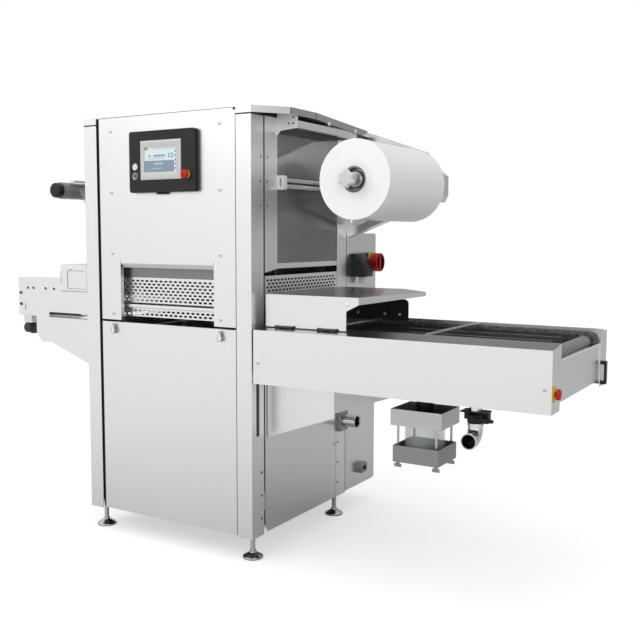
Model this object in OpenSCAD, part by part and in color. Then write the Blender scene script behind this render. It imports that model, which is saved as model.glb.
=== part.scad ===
// Tray sealer: a sealing station on four columns with a chain infeed on its right,
// a belt outfeed on its left, a film reel on an arm and a rewinder for the skeleton film.
// +X points to the infeed end, +Y to the back and +Z up. The origin lies on the floor
// under the middle of the bounding box. Inside the modules X = 0 is the station's
// infeed face and Y = 0 its front face.

/* [Station] */
// Width of the station over the corner posts
body_w = 930; // [880:10:1000]
// Depth of the station from the front face to the back of the rear posts
body_d = 797; // [780:1:840]
// Height of the roof over the floor
body_h = 1900; // [1880:5:1960]
// Height of the posts' lower end over the floor
floor_gap = 100; // [90:1:120]
// Width of a corner post's front face
post_w = 76; // [70:1:82]
// Depth of a corner post's side face
post_d = 88; // [84:1:92]
// Thickness of the cladding sheets
sheet = 3; // [2:0.5:3]
// Height of the door's upper edge over the floor
door_top = 984; // [960:1:990]
// Height of the window's upper edge over the floor
window_top = 1251; // [1235:1:1262]
// Distance of the window from the station's infeed face
window_in = 193; // [180:1:210]
// Width of the roof canopy over the infeed side
canopy_w = 110; // [95:1:125]
// Height of the roof fascia
fascia_h = 28; // [24:1:32]
// Fall of the roof towards the back
roof_fall = 30; // [20:1:40]

/* [Infeed conveyor] */
// Length of the infeed conveyor from the station to its end face
infeed_l = 1246; // [1200:1:1300]
// Setback of both conveyors' far sides from the back of the station
infeed_back = 6; // [5:1:10]
// Height of the side panels' outer upper edge over the floor
infeed_top = 991; // [985:1:996]
// Height of a side panel's outer face
infeed_h = 224; // [210:1:240]
// Width of the box that each side panel forms
side_box = 105; // [98:1:110]
// Pitch of the roller chain
chain_pitch = 25.4; // [25.4:0.1:25.6]
// Number of teeth on a chain wheel
chain_teeth = 8; // [8:1:8]

/* [Outfeed conveyor] */
// Length of the outfeed conveyor from the station to its free end
outfeed_l = 471; // [450:1:500]
// Height of the outfeed side plates' upper edge over the floor
outfeed_top = 1171; // [1165:1:1180]
// Height of the outfeed side plates' lower edge over the floor
out_low = 984; // [978:1:988]
// Radius of the belt rollers
belt_roller_r = 25; // [22:1:27]
// Thickness of the belt
belt_t = 2; // [1.5:0.5:3]

/* [Film] */
// Outer radius of the film reel
reel_r = 159; // [120:1:160]
// Radius of the bore through the film reel
reel_bore_r = 45; // [42:1:50]
// Distance of the film's front edge from the station's front face
film_in = 130; // [126:1:134]
// Distance of the reel's axis from the station's infeed face
reel_x = 403; // [395:1:415]
// Height of the reel's axis over the floor
reel_z = 1599; // [1597:1:1610]
// Radius of the rewinder tube
rewind_r = 30; // [26:1:32]

/* [Operator panel] */
// Width of the operator panel housing
hmi_w = 366; // [350:1:390]
// Height of the operator panel housing
hmi_h = 263; // [250:1:275]
// Depth of the operator panel housing in front of the sheet
hmi_d = 23; // [20:1:30]
// Radius of an emergency stop's mushroom head
estop_r = 20; // [18:1:20]
// Travel of an emergency stop's head
estop_travel = 5; // [4:0.5:5]

/* [Sealing tools] */
// Stroke of the lower tool
lift_stroke = 120; // [90:1:120]
// Radius of a lift column
column_r = 15; // [13:1:17]
// Width of both tools along the conveyor
tool_w = 480; // [440:1:500]

/* [Cabinet] */
// Width of the electric cabinet
cab_w = 860; // [800:5:880]
// Depth of the electric cabinet
cab_d = 295; // [280:1:315]
// Height of the electric cabinet's upper edge over the floor
cab_top = 1390; // [1385:1:1395]

/* [Separator] */
// Width of the separator's lid box
sep_w = 225; // [215:1:235]
// Depth of the separator's lid box
sep_d = 190; // [184:1:200]
// Radius of the separator's glass cylinder
glass_r = 84; // [78:1:86]

/* [Fits] */
// Radial clearance of a shaft in its bore
run_gap = 0.05; // [0.02:0.01:0.09]
// Gap between neighbouring pieces that do not touch
seat_gap = 0.3; // [0.2:0.05:0.5]

/* [Hidden] */
$fn = 48;

// Overrun of every cut past the face it opens
over = 1;

// Colours
pale = [0.88, 0.89, 0.90];
grey = [0.62, 0.63, 0.65];
dark = [0.32, 0.33, 0.35];
charcoal = [0.16, 0.16, 0.17];
black = [0.05, 0.05, 0.06];
white = [0.94, 0.94, 0.95];
signal_red = [0.80, 0.08, 0.07];
signal_yellow = [0.93, 0.80, 0.08];

// Station places
left_x = -body_w;
mid_body_x = -body_w / 2;
panel_x0 = left_x + post_w + 6 * sheet;
panel_x1 = -post_w - sheet;
panel_gap = 10;
panel_z0 = door_top + panel_gap;
roof_gap = 5;
panel_top = body_h - roof_gap;
flange_d = 15;
column_x = 70;
column_y = 76;
column_set = 20;
column_rise = 35;
column_z0 = floor_gap + column_rise;
column_wall = 4;
post_top = body_h - fascia_h;
rear_post_d = 92;
rear_y0 = body_d - rear_post_d;
side_gap = 2;
side_y0 = post_d + panel_gap;
side_y1 = rear_y0 - side_gap;
film_back = 131;
film_w = body_d - film_in - film_back;
seal_gap = 1;
rail_h = 40;
rail_w = 40;
tray_line = 985;
hole_r = 3.5;
hole_step = 100;
hole_rows = 3;
hole_y = 70;
hole_low = 175;
hole_drop = 400;
hole_high = body_h - hole_drop;
rear_rise = 5;
rear_hole_in = 17;
slot_y0 = 32;
slot_y1 = 54;
slot_z0 = 536;

module placed(tone) color(tone) translate([-mid_x, -mid_y, 0]) children();
module block(low, high) translate(low) cube(high - low);
module along_x(x0, x1) translate([x0, 0, 0]) rotate([90, 0, 90]) linear_extrude(x1 - x0) children();
module along_y(y0, y1) translate([0, y1, 0]) rotate([90, 0, 0]) linear_extrude(y1 - y0) children();
module along_z(z0, z1) translate([0, 0, z0]) linear_extrude(z1 - z0) children();
module rod_x(at, r, len) translate(at) rotate([0, 90, 0]) cylinder(r = r, h = len);
module rod_y(at, r, len) translate(at) rotate([-90, 0, 0]) cylinder(r = r, h = len);
module rod_z(at, r, len) translate(at) cylinder(r = r, h = len);
module area(low, high) translate(low) square(high - low);
module round_area(low, high, r) {
  if (high.x - low.x > 2 * r) area([low.x + r, low.y], [high.x - r, high.y]);
  if (high.y - low.y > 2 * r) area([low.x, low.y + r], [high.x, high.y - r]);
  for (x = [low.x + r, high.x - r], y = [low.y + r, high.y - r]) translate([x, y]) circle(r = r);
}
// Profiles turned about an axis: points are radius and place along it
module turned_y(x, z, outline) translate([x, 0, z]) rotate([-90, 0, 0]) rotate_extrude() polygon(outline);
module turned_x(y, z, outline) translate([0, y, z]) rotate([0, 90, 0]) rotate_extrude() polygon(outline);
module turned_z(x, y, outline) translate([x, y, 0]) rotate_extrude() polygon(outline);
// Hollow bar between two corners with its hollow along one axis
module tube_z(low, high, wall) difference() {
  block(low, high);
  block(low + [wall, wall, -over], high - [wall, wall, -over]);
}
module tube_y(low, high, wall) difference() {
  block(low, high);
  block(low + [wall, -over, wall], high - [wall, -over, wall]);
}
module tube_x(low, high, wall) difference() {
  block(low, high);
  block(low + [-over, wall, wall], high - [-over, wall, wall]);
}
module mirror_body() translate([left_x, 0, 0]) mirror([1, 0, 0]) children();

// Base frame
inner_x = sheet + seat_gap;
rear_col_y1 = body_d - sheet - seat_gap;
rear_col_y0 = rear_col_y1 - column_y;
ring_z = column_z0 + rear_rise;
column_xs = [left_x + inner_x, -inner_x - column_x];
column_ys = [column_set, rear_col_y0];
beam_z = 1262;
beam_h = 60;
top_beam_in = 45;
top_beam_z = post_top - top_beam_in;
rail_set = 10;
rail_y = column_set + rail_set;
cross_x = 175;
door_pin_y = 16;
door_pin_z = 128;
door_pin_r = 6;
door_lug_t = 6;
door_lug_in = 50;
door_lug_r = 12;
lift_base_z = ring_z + rail_h;
ear_t = 5;
spacer_r = 8;
tab_t = 12;
module column(x0, y0) tube_z([x0, y0, column_z0],
  [x0 + column_x, y0 + column_y, post_top - (y0 > column_set ? roof_fall : sheet)], column_wall);
module frame_ring(z, h, inset) {
  for (y = [rail_y, rear_col_y1 - rail_w])
    tube_x([left_x + inner_x + column_x, y, z], [-inner_x - column_x, y + rail_w, z + h], sheet);
  for (x = [left_x + inner_x, -inner_x - rail_w - inset])
    tube_y([x, column_set + column_y, z], [x + rail_w, rear_col_y0, z + h], sheet);
}
module cross_beams(z, h) for (x = [mid_body_x - cross_x, mid_body_x + cross_x])
  tube_y([x - rail_w / 2, rail_y + rail_w, z], [x + rail_w / 2, rear_col_y1 - rail_w, z + h], sheet);
module door_ear(x) along_x(x, x + ear_t) {
  translate([door_pin_y, door_pin_z]) circle(r = door_lug_r);
  area([door_pin_y, door_pin_z], [rail_y, ring_z + rail_h]);
}
module base_frame() placed(charcoal) {
  for (x = column_xs, y = column_ys) column(x, y);
  frame_ring(ring_z, rail_h, 0);
  frame_ring(beam_z, beam_h, pane_t);
  frame_ring(top_beam_z, rail_h, pane_t);
  cross_beams(ring_z, rail_h);
  cross_beams(beam_z, beam_h);
  block([left_x + post_w + seal_gap, column_set - seat_gap, column_z0], [panel_x0 - seal_gap,
    column_set + sheet, post_top - sheet]);
  block([left_x + inner_x + column_x, column_set, column_z0], [left_x + post_w + seal_gap,
    column_set + sheet, post_top - sheet]);
  for (x = column_xs, y = column_ys)
    difference() {
      block([x, y, column_z0 - sheet], [x + column_x, y + column_y, column_z0]);
      rod_z([foot_x(x), foot_y(y), column_z0 - sheet - over], foot_stem_r + run_gap, sheet + 2 * over);
    }
  for (x = screw_xs, k = [0, 2]) difference() {
    rod_y([x, sheet + seat_gap, screw_top - k * screw_step], spacer_r, rail_y - sheet - seat_gap);
    rod_y([x, sheet, screw_top - k * screw_step], screw_hole_r, screw_l);
  }
  for (side = [0, 1]) translate([side * left_x, 0, 0]) mirror([side, 0, 0]) {
    block([-inner_x - tab_t, column_set + column_y, side_gz[0] + tab_t], [-inner_x,
      side_y0 + guard_in, side_gz[1] - tab_t]);
    block([-inner_x - tab_t, side_y1 - guard_in, side_gz[0] + tab_t], [-inner_x, rear_col_y0,
      side_gz[1] - tab_t]);
  }
  block([left_x + inner_x, column_set + column_y, rail_z[0] - tab_t], [-inner_x,
    gripper_y + gripper_w - sheet, rail_z[0] - seat_gap]);
  block([left_x + inner_x, body_d - gripper_y - gripper_w + sheet, rail_z[0] - tab_t], [-inner_x,
    rear_col_y0, rail_z[0] - seat_gap]);
  for (x = [panel_x0 + door_lug_in - ear_t - over, panel_x0 + door_lug_in + door_lug_t + over,
            panel_x1 - door_lug_in - door_lug_t - ear_t - over, panel_x1 - door_lug_in + over]) door_ear(x);
  for (x = [panel_x0 + door_lug_in - ear_t - over, panel_x1 - door_lug_in - door_lug_t - ear_t - over])
    rod_x([x, door_pin_y, door_pin_z], door_pin_r, door_lug_t + 2 * ear_t + 2 * over);
}

// Corner posts
module post_holes(x0, y) for (k = [0 : hole_rows - 1], z = [hole_low, hole_high])
  rod_x([x0 - over, y, z + k * hole_step], hole_r, sheet + 2 * over);
module front_post() {
  along_z(floor_gap, post_top) area([-post_w, 0], [0, sheet]);
  difference() {
    along_z(floor_gap, post_top) area([-sheet, sheet], [0, post_d]);
    post_holes(-sheet, hole_y);
    block([-sheet - over, slot_y0, slot_z0], [over, slot_y1, infeed_top - infeed_h]);
  }
}
module rear_post() intersection() {
  rear_post_body();
  under_roof();
}
module rear_post_body() {
  difference() {
    along_z(floor_gap + rear_rise, post_top) area([-sheet, rear_y0], [0, body_d]);
    post_holes(-sheet, rear_y0 + rear_hole_in);
  }
  along_z(floor_gap + rear_rise, post_top) area([-post_w, body_d - sheet], [-sheet, body_d]);
}
// Room below the fascia's sloping lower edge
module under_roof() along_x(2 * left_x, body_w) polygon([[-over, 0], [body_d + over, 0],
  [body_d + over, post_top - roof_fall], [body_d, post_top - roof_fall], [roof_knee, post_top], [-over,
    post_top]]);
module corner_posts() placed(pale) {
  front_post();
  rear_post();
  mirror_body() { front_post(); rear_post(); }
}

// Roof
roof_knee = 328;
canopy_y = 134;
canopy_taper = 4;
roof_back = body_d;
function roof_plan(i) = [[left_x + i, i], [-i / 2, i], [canopy_w - canopy_taper - i, canopy_y],
  [canopy_w - i, roof_knee],
  [canopy_w - i, roof_back - i], [left_x + i, roof_back - i]];
module roof_section(low) polygon([[-over, body_h - low], [roof_knee, body_h - low],
  [roof_back + over, body_h - low - roof_fall], [roof_back + over, body_h + over],
  [-over, body_h + over]]);
module roof_top_section() polygon([[-over, body_h], [roof_knee, body_h], [roof_back + over,
  body_h - roof_fall],
  [roof_back + over, body_h + 2 * over], [-over, body_h + 2 * over]]);
module roof_cover() placed(pale) difference() {
  along_z(post_top - roof_fall, body_h) polygon(roof_plan(0));
  along_x(left_x - over, canopy_w + over) roof_top_section();
  along_x(left_x - over, canopy_w + over) polygon([[-over, post_top - roof_fall - over],
    [roof_back + over, post_top - roof_fall - over], [roof_back + over, post_top - roof_fall],
    [roof_knee, post_top], [-over, post_top]]);
  difference() {
    along_z(post_top - roof_fall - over, body_h) polygon(roof_plan(sheet));
    along_x(left_x - over, canopy_w + over) roof_section(sheet);
  }
  block([left_x + post_w, -over, post_top - over], [-post_w, sheet + over, body_h + over]);
}

// Cladding
notch = 16;
rear_seam = 40;
upper_left_z = 1300;
module side_sheet(z0, z1) along_z(z0, z1) area([-sheet, side_y0], [0, side_y1]);
module body_panels() placed(grey) {
  difference() {
    side_sheet(floor_gap + rear_rise, tray_line - rear_seam);
    block([-sheet - over, side_y0 - over, floor_gap], [over, side_y0 + notch, floor_gap + rear_rise + notch]);
  }
  mirror_body() side_sheet(floor_gap + rear_rise, out_low);
  intersection() {
    mirror_body() side_sheet(upper_left_z, post_top);
    under_roof();
  }
  along_z(floor_gap + rear_rise, post_top - roof_fall)
    area([left_x + post_w + over, body_d - sheet], [-post_w - over, body_d]);
}

// Front panel with window
window_off = 17;
window_x1 = -window_in;
window_x0 = left_x + window_in + window_off;
slit_w = 2;
slit_h = 13;
lip_in = 15;
lip_drop = 19;
jamb_d = 20;
screw_drop = 64;
screw_low = 29;
screw_rows = 4;
screw_top = body_h - screw_drop;
screw_step = (screw_top - panel_z0 - screw_low) / (screw_rows - 1);
screw_r = 8;
screw_hole_r = 3.2;
screw_h = 3.5;
screw_l = 12;
screw_side = 45;
screw_xs = [window_x0 - screw_side, window_x1 + screw_side * 0.8];
hmi_in = 170;
hmi_drop = 76;
hmi_x0 = mid_body_x - hmi_in;
hmi_z0 = body_h - hmi_h - hmi_drop;
module panel_outline() difference() {
  area([panel_x0, panel_z0], [panel_x1, panel_top]);
  area([window_x0, panel_z0 - over], [window_x1, window_top]);
  for (x = [window_x0, window_x1 - slit_w]) area([x, window_top - over], [x + slit_w, window_top + slit_h]);
  for (x = screw_xs, k = [0 : screw_rows - 1]) translate([x, screw_top - k * screw_step])
    circle(r = screw_hole_r);
}
module edge_returns(z0, z1) {
  for (x = [panel_x0, panel_x1 - sheet]) block([x, sheet, z0], [x + sheet, flange_d, z1]);
}
module front_panel() placed(pale) {
  along_y(0, sheet) panel_outline();
  edge_returns(panel_z0, panel_top);
  block([panel_x0 + sheet, sheet, panel_top - sheet], [panel_x1 - sheet, flange_d, panel_top]);
  for (x = [window_x0 - sheet, window_x1])
    block([x, sheet, panel_z0], [x + sheet, jamb_d, window_top - lip_drop]);
  along_x(window_x0 + slit_w, window_x1 - slit_w) polygon([[0, window_top], [sheet, window_top],
    [lip_in + sheet, window_top - lip_drop], [lip_in, window_top - lip_drop]]);
}
// Domed screw along Y whose head lies on the face at y
module screw_y(x, y, z, l) turned_y(x, z, [[0, y - screw_h], [screw_r / 2, y - screw_h],
  [screw_r, y - screw_h / 2], [screw_r, y], [screw_hole_r - seat_gap / 2, y],
  [screw_hole_r - seat_gap / 2, y + l], [0, y + l]]);
module screw_x(y, x, z, l) turned_x(y, z, [[0, x + screw_h], [screw_r / 2, x + screw_h],
  [screw_r, x + screw_h / 2], [screw_r, x], [0, x]]);
infeed_screw_in = 24;
infeed_screw_z = 855;
module panel_screws() placed(grey) {
  for (x = screw_xs, k = [0 : screw_rows - 1]) screw_y(x, 0, screw_top - k * screw_step, screw_l);
  for (x = [infeed_x0 + infeed_screw_in, infeed_l - infeed_screw_in])
    screw_y(x, infeed_y0, infeed_screw_z, 0);
  screw_x(side_y0 + notch, 0, hole_low, 0);
  screw_x(side_y1 - notch, 0, hole_low + 2 * hole_step, 0);
}

// Levelling feet
foot_r = 44;
foot_stem_r = 10;
foot_cone_z = 26;
foot_base_h = 9;
foot_neck_r = 14;
foot_nut_h = 12;
function foot_x(x) = x + column_x / 2;
function foot_y(y) = y + column_y / 2;
module foot(x, y) turned_z(x, y, [[0, 0], [foot_r, 0], [foot_r, foot_base_h], [foot_neck_r, foot_cone_z],
  [foot_neck_r, foot_cone_z + foot_base_h], [foot_stem_r, foot_cone_z + foot_base_h],
  [foot_stem_r, column_z0 - sheet - foot_nut_h], [foot_neck_r + over, column_z0 - sheet - foot_nut_h],
  [foot_neck_r + over, column_z0 - sheet], [foot_stem_r, column_z0 - sheet], [foot_stem_r,
    column_z0 + foot_cone_z], [0, column_z0 + foot_cone_z]]);
module levelling_feet() placed(grey)
  for (x = column_xs, y = column_ys) foot(foot_x(x), foot_y(y));

// Lower door and latches
door_rise = 7;
door_z0 = floor_gap + door_rise;
latch_drop = 40;
latch_z = door_top - latch_drop;
latch_off = 5;
latch_xs = [screw_xs[0] + latch_off, screw_xs[1] + over];
latch_shaft_r = 8;
latch_boss_r = 12;
latch_boss_h = 5;
latch_wing_l = 30;
latch_wing_t = 10;
latch_tip_r = 3;
latch_in = 12;
cam_r = 11;
cam_t = 3;
module lower_door() placed(pale) {
  difference() {
    along_y(0, sheet) area([panel_x0, door_z0], [panel_x1, door_top]);
    for (x = latch_xs) rod_y([x, -over, latch_z], latch_shaft_r + run_gap, sheet + 2 * over);
  }
  edge_returns(door_z0, door_top);
  for (z = [door_z0, door_top - sheet])
    block([panel_x0 + sheet, sheet, z], [panel_x1 - sheet, flange_d, z + sheet]);
  for (x = [panel_x0 + door_lug_in, panel_x1 - door_lug_in - door_lug_t])
    along_x(x, x + door_lug_t) difference() {
      union() {
        translate([door_pin_y, door_pin_z]) circle(r = door_lug_r);
        area([sheet, door_pin_z - door_lug_r], [door_pin_y, door_pin_z + door_lug_r]);
      }
      translate([door_pin_y, door_pin_z]) circle(r = door_pin_r + run_gap);
    }
}
module latch(x) {
  rod_y([x, -latch_boss_h, latch_z], latch_boss_r, latch_boss_h - seat_gap);
  rod_y([x, -seat_gap - over, latch_z], latch_shaft_r, sheet + latch_in);
  along_y(-latch_boss_h - latch_wing_t, -latch_boss_h) {
    translate([x, latch_z]) circle(r = latch_boss_r);
    polygon([[x - latch_boss_r, latch_z], [x + latch_boss_r, latch_z],
      [x + latch_tip_r, latch_z + latch_wing_l], [x - latch_tip_r, latch_z + latch_wing_l]]);
    translate([x, latch_z + latch_wing_l]) circle(r = latch_tip_r);
  }
  rod_y([x, sheet + seat_gap, latch_z], cam_r, cam_t);
}
module latch_left() placed(pale) latch(latch_xs[0]);
module latch_right() placed(pale) latch(latch_xs[1]);

// Operator panel
hmi_round = 12;
bezel_low = [67, 54];
bezel_at = [hmi_x0, hmi_z0] + bezel_low;
bezel_size = [225, 167];
bezel_rise = 2;
bezel_deep = 6;
display_in = [20, 32];
display_size = [178, 106];
display_deep = 4;
tab_w = 40;
tab_h = 8;
hmi_front = -hmi_d;
button_r = 12;
button_h = 4;
button_travel = 2;
button_at = [34, 112];
button_step = 40;
button_stem_r = 6;
button_stem_l = 12;
estop_at = [323, 72];
estop_base = 4;
estop_neck = 6;
estop_head = 20;
stop_out = estop_base + estop_neck;
stop_l = stop_out + estop_head - estop_travel;
estop_ring_r = 30;
ring_plate = 2.5;
estop_neck_r = 14;
estop_stem_r = 6;
estop_stem_l = 12;
module hmi_housing() placed(charcoal) difference() {
  union() {
    along_y(hmi_front, 0) round_area([hmi_x0, hmi_z0], [hmi_x0 + hmi_w, hmi_z0 + hmi_h], hmi_round);
    along_y(hmi_front / 2, hmi_front / 4) round_area([hmi_x0 + hmi_w / 2 - tab_w, hmi_z0 - tab_h],
      [hmi_x0 + hmi_w / 2 + tab_w / 2, hmi_z0 + tab_h], tab_h / 2);
  }
  along_y(hmi_front - over, hmi_front + bezel_deep)
    area(bezel_at, bezel_at + bezel_size);
  for (k = [0, 1]) {
    rod_y([hmi_x0 + button_at.x, hmi_front - over, hmi_z0 + button_at.y - k * button_step],
      button_stem_r + run_gap, button_stem_l + 2 * button_h);
    rod_y([hmi_x0 + button_at.x, hmi_front - over, hmi_z0 + button_at.y - k * button_step],
      button_r + seat_gap, over + button_h);
  }
  rod_y([hmi_x0 + estop_at.x, hmi_front - over, hmi_z0 + estop_at.y], estop_stem_r + run_gap, hmi_d - sheet);
}
module hmi_bezel() placed(pale) along_y(hmi_front - bezel_rise, hmi_front + bezel_deep) difference() {
  area(bezel_at, bezel_at + bezel_size);
  area(bezel_at + display_in, bezel_at + display_in + display_size);
}
module hmi_display() placed([0.75, 0.80, 0.85]) along_y(hmi_front + bezel_deep - display_deep,
  hmi_front + bezel_deep)
  area(bezel_at + display_in, bezel_at + display_in + display_size);
module push_button(z) {
  rod_y([hmi_x0 + button_at.x, hmi_front - button_h + button_travel, z], button_r, button_h);
  rod_y([hmi_x0 + button_at.x, hmi_front + button_travel, z], button_stem_r, button_stem_l);
}
module start_button() placed(white) push_button(hmi_z0 + button_at.y);
module stop_button() placed(dark) push_button(hmi_z0 + button_at.y - button_step);

// Emergency stops: the head pushes along Y or X into its collar
end_stop_y = 30;
end_stop_z = 838;
function collar_outline(s, ring) = [[estop_stem_r + run_gap, s], [ring, s], [ring, s - ring_plate],
  [estop_neck_r, s - ring_plate], [estop_neck_r, s - estop_base],
  [estop_neck_r - ring_plate, s - stop_out + estop_travel],
  [estop_stem_r + run_gap, s - stop_out + estop_travel]];
function head_outline(s) = [[0, s - stop_l],
  [estop_r * 0.7, s - stop_l],
  [estop_r, s - stop_out - estop_head * 0.6],
  [estop_r, s - stop_out - estop_travel],
  [estop_r * 0.9, s - stop_out - seat_gap],
  [estop_stem_r, s - stop_out - seat_gap], [estop_stem_r, s + estop_stem_l], [0, s + estop_stem_l]];
function flipped(outline) = [for (p = outline) [p.x, -p.y]];
module estop_collars() placed(signal_yellow) {
  turned_y(hmi_x0 + estop_at.x, hmi_z0 + estop_at.y, collar_outline(hmi_front, estop_neck_r * 1.25));
  turned_x(end_stop_y, end_stop_z, flipped(collar_outline(-infeed_l, estop_ring_r)));
}
module estop_knob_panel() placed(signal_red)
  turned_y(hmi_x0 + estop_at.x, hmi_z0 + estop_at.y, head_outline(hmi_front));
module estop_knob_conveyor() placed(signal_red)
  turned_x(end_stop_y, end_stop_z, flipped(head_outline(-infeed_l)));

// Perforated guards: staggered slots in a sheet
slot_pitch = 27.5;
slot_row = 14.5;
slot_l = 17;
slot_h = 8;
guard_t = 2;
guard_in = 12;
guard_rim = 8;
guard_y = 48;
guard_z = [[1010, 1049], [1073, 1187]];
rail_z = [1051, 1065];
side_gz = [1090, 1208];
module perforated(low, high) difference() {
  area(low, high);
  rows = floor((high.y - low.y - guard_rim) / slot_row);
  columns = floor((high.x - low.x - guard_in - slot_pitch / 2) / slot_pitch);
  for (r = [0 : rows - 1], c = [0 : columns - 1])
    translate([low.x + guard_in + c * slot_pitch + (r % 2) * slot_pitch / 2,
      low.y + guard_rim / 2 + slot_row / 4 + r * slot_row])
      square([slot_l, slot_h]);
}
guard_x0 = window_x0 - screw_side;
guard_x1 = window_x1 + screw_side;
module perforated_guards() placed(pale) {
  for (z = guard_z) along_y(guard_y, guard_y + guard_t) perforated([guard_x0, z[0]], [guard_x1,
    z[1]]);
  for (x = [guard_x0 - guard_in, guard_x1])
    block([x, guard_y - guard_in, guard_z[0][0]], [x + guard_in, guard_y + guard_t, beam_z]);
  block([guard_x0, guard_y - guard_in, rail_z[0]], [guard_x1, guard_y, rail_z[1]]);
  along_x(-sheet, 0) perforated([side_y0, side_gz[0]], [side_y1, side_gz[1]]);
  mirror_body() along_x(-sheet, 0) perforated([side_y0, side_gz[0]], [side_y1, side_gz[1]]);
}

// Sealing tools
tool_y0 = film_in;
tool_y1 = tool_y0 + film_w;
tool_x0 = mid_body_x - tool_w / 2;
tool_x1 = mid_body_x + tool_w / 2;
head_z = 1102;
heater_t = 22;
head_h = 90;
hanger_r = 18;
film_z = 1092;
nest_top = 960;
nest_h = 100;
lift_plate_t = 20;
nest_wall = 24;
nest_depth = 70;
nest_round = 30;
sleeve_wall = 9;
sleeve_l = 240;
column_in = 60;
lift_base_t = 12;
cylinder_r = 45;
cylinder_h = 330;
piston_r = 16;
module hanger_points() for (x = [mid_body_x - cross_x, mid_body_x + cross_x], y = [tool_y0 + column_in,
  tool_y1 - column_in])
  translate([x, y, 0]) children();
module upper_tool() placed(grey) {
  block([tool_x0, tool_y0, head_z + heater_t], [tool_x1, tool_y1, head_z + head_h]);
  difference() {
    block([tool_x0 + sheet, tool_y0 + sheet, head_z], [tool_x1 - sheet, tool_y1 - sheet, head_z + heater_t]);
    nests(head_z - over, head_z + heater_t / 2);
  }
  hanger_points() rod_z([0, 0, head_z + head_h], hanger_r, beam_z - head_z - head_h);
}
module nests(z0, z1) for (i = [0, 1], j = [0, 1]) {
  w = (tool_w - 3 * nest_wall) / 2;
  d = (film_w - 3 * nest_wall) / 2;
  low = [tool_x0 + nest_wall + i * (w + nest_wall), tool_y0 + nest_wall + j * (d + nest_wall)];
  along_z(z0, z1) round_area(low, low + [w, d], nest_round);
}
module lower_tool() placed(grey) {
  difference() {
    block([tool_x0, tool_y0, nest_top - nest_h], [tool_x1, tool_y1, nest_top]);
    nests(nest_top - nest_depth, nest_top + over);
  }
  block([tool_x0 + sheet, tool_y0 + sheet, nest_top - nest_h - lift_plate_t],
    [tool_x1 - sheet, tool_y1 - sheet, nest_top - nest_h]);
  hanger_points() difference() {
    rod_z([0, 0, sleeve_z0], column_r + sleeve_wall, sleeve_l);
    rod_z([0, 0, sleeve_z0 - over], column_r + run_gap, sleeve_l + over);
  }
  rod_z([mid_body_x, (tool_y0 + tool_y1) / 2, lift_base_z + cylinder_h - 2 * lift_stroke], piston_r,
    sleeve_z0 + sleeve_l - lift_base_z - cylinder_h + 2 * lift_stroke);
}
sleeve_rest = 5;
sleeve_z0 = nest_top - nest_h - lift_plate_t - sleeve_l;
module lift_guides() placed(dark) {
  block([tool_x0, tool_y0, lift_base_z], [tool_x1, tool_y1, lift_base_z + lift_base_t]);
  hanger_points() rod_z([0, 0, lift_base_z + lift_base_t], column_r,
    sleeve_z0 + sleeve_l - lift_base_z - lift_base_t - sleeve_rest);
  difference() {
    rod_z([mid_body_x, (tool_y0 + tool_y1) / 2, lift_base_z + lift_base_t], cylinder_r,
      cylinder_h - lift_base_t);
    rod_z([mid_body_x, (tool_y0 + tool_y1) / 2, lift_base_z + cylinder_h - 2 * lift_stroke - sleeve_rest],
      piston_r + run_gap, 2 * lift_stroke + sleeve_rest + over);
  }
}

// Gripper bars
gripper_w = 16;
gripper_h = 14;
gripper_y = 98;
finger_w = 18;
finger_l = 14;
finger_t = 4;
finger_count = 5;
gripper_in = 90;
gripper_x0 = left_x + gripper_in;
gripper_x1 = -gripper_in;
riser_w = 10;
riser_z0 = 925;
module gripper_bar(y0, side) {
  block([gripper_x0, y0, rail_z[0]], [gripper_x1, y0 + gripper_w, rail_z[0] + gripper_h]);
  for (k = [0 : finger_count - 1])
    translate([gripper_x0 + (k + 0.5) * (gripper_x1 - gripper_x0) / finger_count - finger_w / 2,
      side > 0 ? y0 + gripper_w : y0 - finger_l, rail_z[0]]) cube([finger_w, finger_l, finger_t]);
}
module gripper_bars() placed(pale) {
  gripper_bar(gripper_y, 1);
  gripper_bar(body_d - gripper_y - gripper_w, -1);
  for (y = [gripper_y + gripper_w, body_d - gripper_y - gripper_w - riser_w])
    block([gripper_x0, y, riser_z0], [gripper_x0 + riser_w, y + riser_w, rail_z[0] + gripper_h]);
  block([gripper_x0, gripper_y + gripper_w, riser_z0], [gripper_x0 + riser_w,
    body_d - gripper_y - gripper_w, riser_z0 + riser_w]);
}

// Infeed conveyor: folded side panels with a sloped top
infeed_x0 = 5;
infeed_y0 = 4;
infeed_w = body_d - infeed_y0 - infeed_back;
infeed_y1 = infeed_y0 + infeed_w;
infeed_z0 = infeed_top - infeed_h;
top_rise = 15;
inner_z0 = 860;
hem = 36;
inner_y0 = infeed_y0 + side_box;
inner_y1 = infeed_y1 - side_box;
bed_z = 933;
bed_t = 3;
wheel_r = chain_pitch / (2 * sin(180 / chain_teeth));
wheel_travel = chain_pitch * chain_teeth / (2 * PI);
plate_r = 9.5;
drive_x = 52;
tail_in = wheel_r + plate_r + 2 * sheet + seat_gap;
chain_links = 2 * floor((infeed_l - drive_x - tail_in + PI * wheel_travel) / chain_pitch);
chain_span = (chain_links * chain_pitch - 2 * PI * wheel_travel) / 2;
chain_z = 953;
tail_x = drive_x + chain_span;
journal_r = 10;
boss_r = 20;
boss_l = 14;
module side_profile() polygon([[infeed_y0, infeed_z0], [infeed_y0, infeed_top], [inner_y0,
  infeed_top + top_rise],
  [inner_y0, inner_z0], [inner_y0 - sheet, inner_z0], [inner_y0 - sheet,
    infeed_top + top_rise - 1.15 * sheet],
  [infeed_y0 + sheet, infeed_top - 1.15 * sheet + top_rise * sheet / side_box], [infeed_y0 + sheet,
    infeed_z0 + sheet],
  [infeed_y0 + hem, infeed_z0 + sheet], [infeed_y0 + hem, infeed_z0]]);
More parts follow.
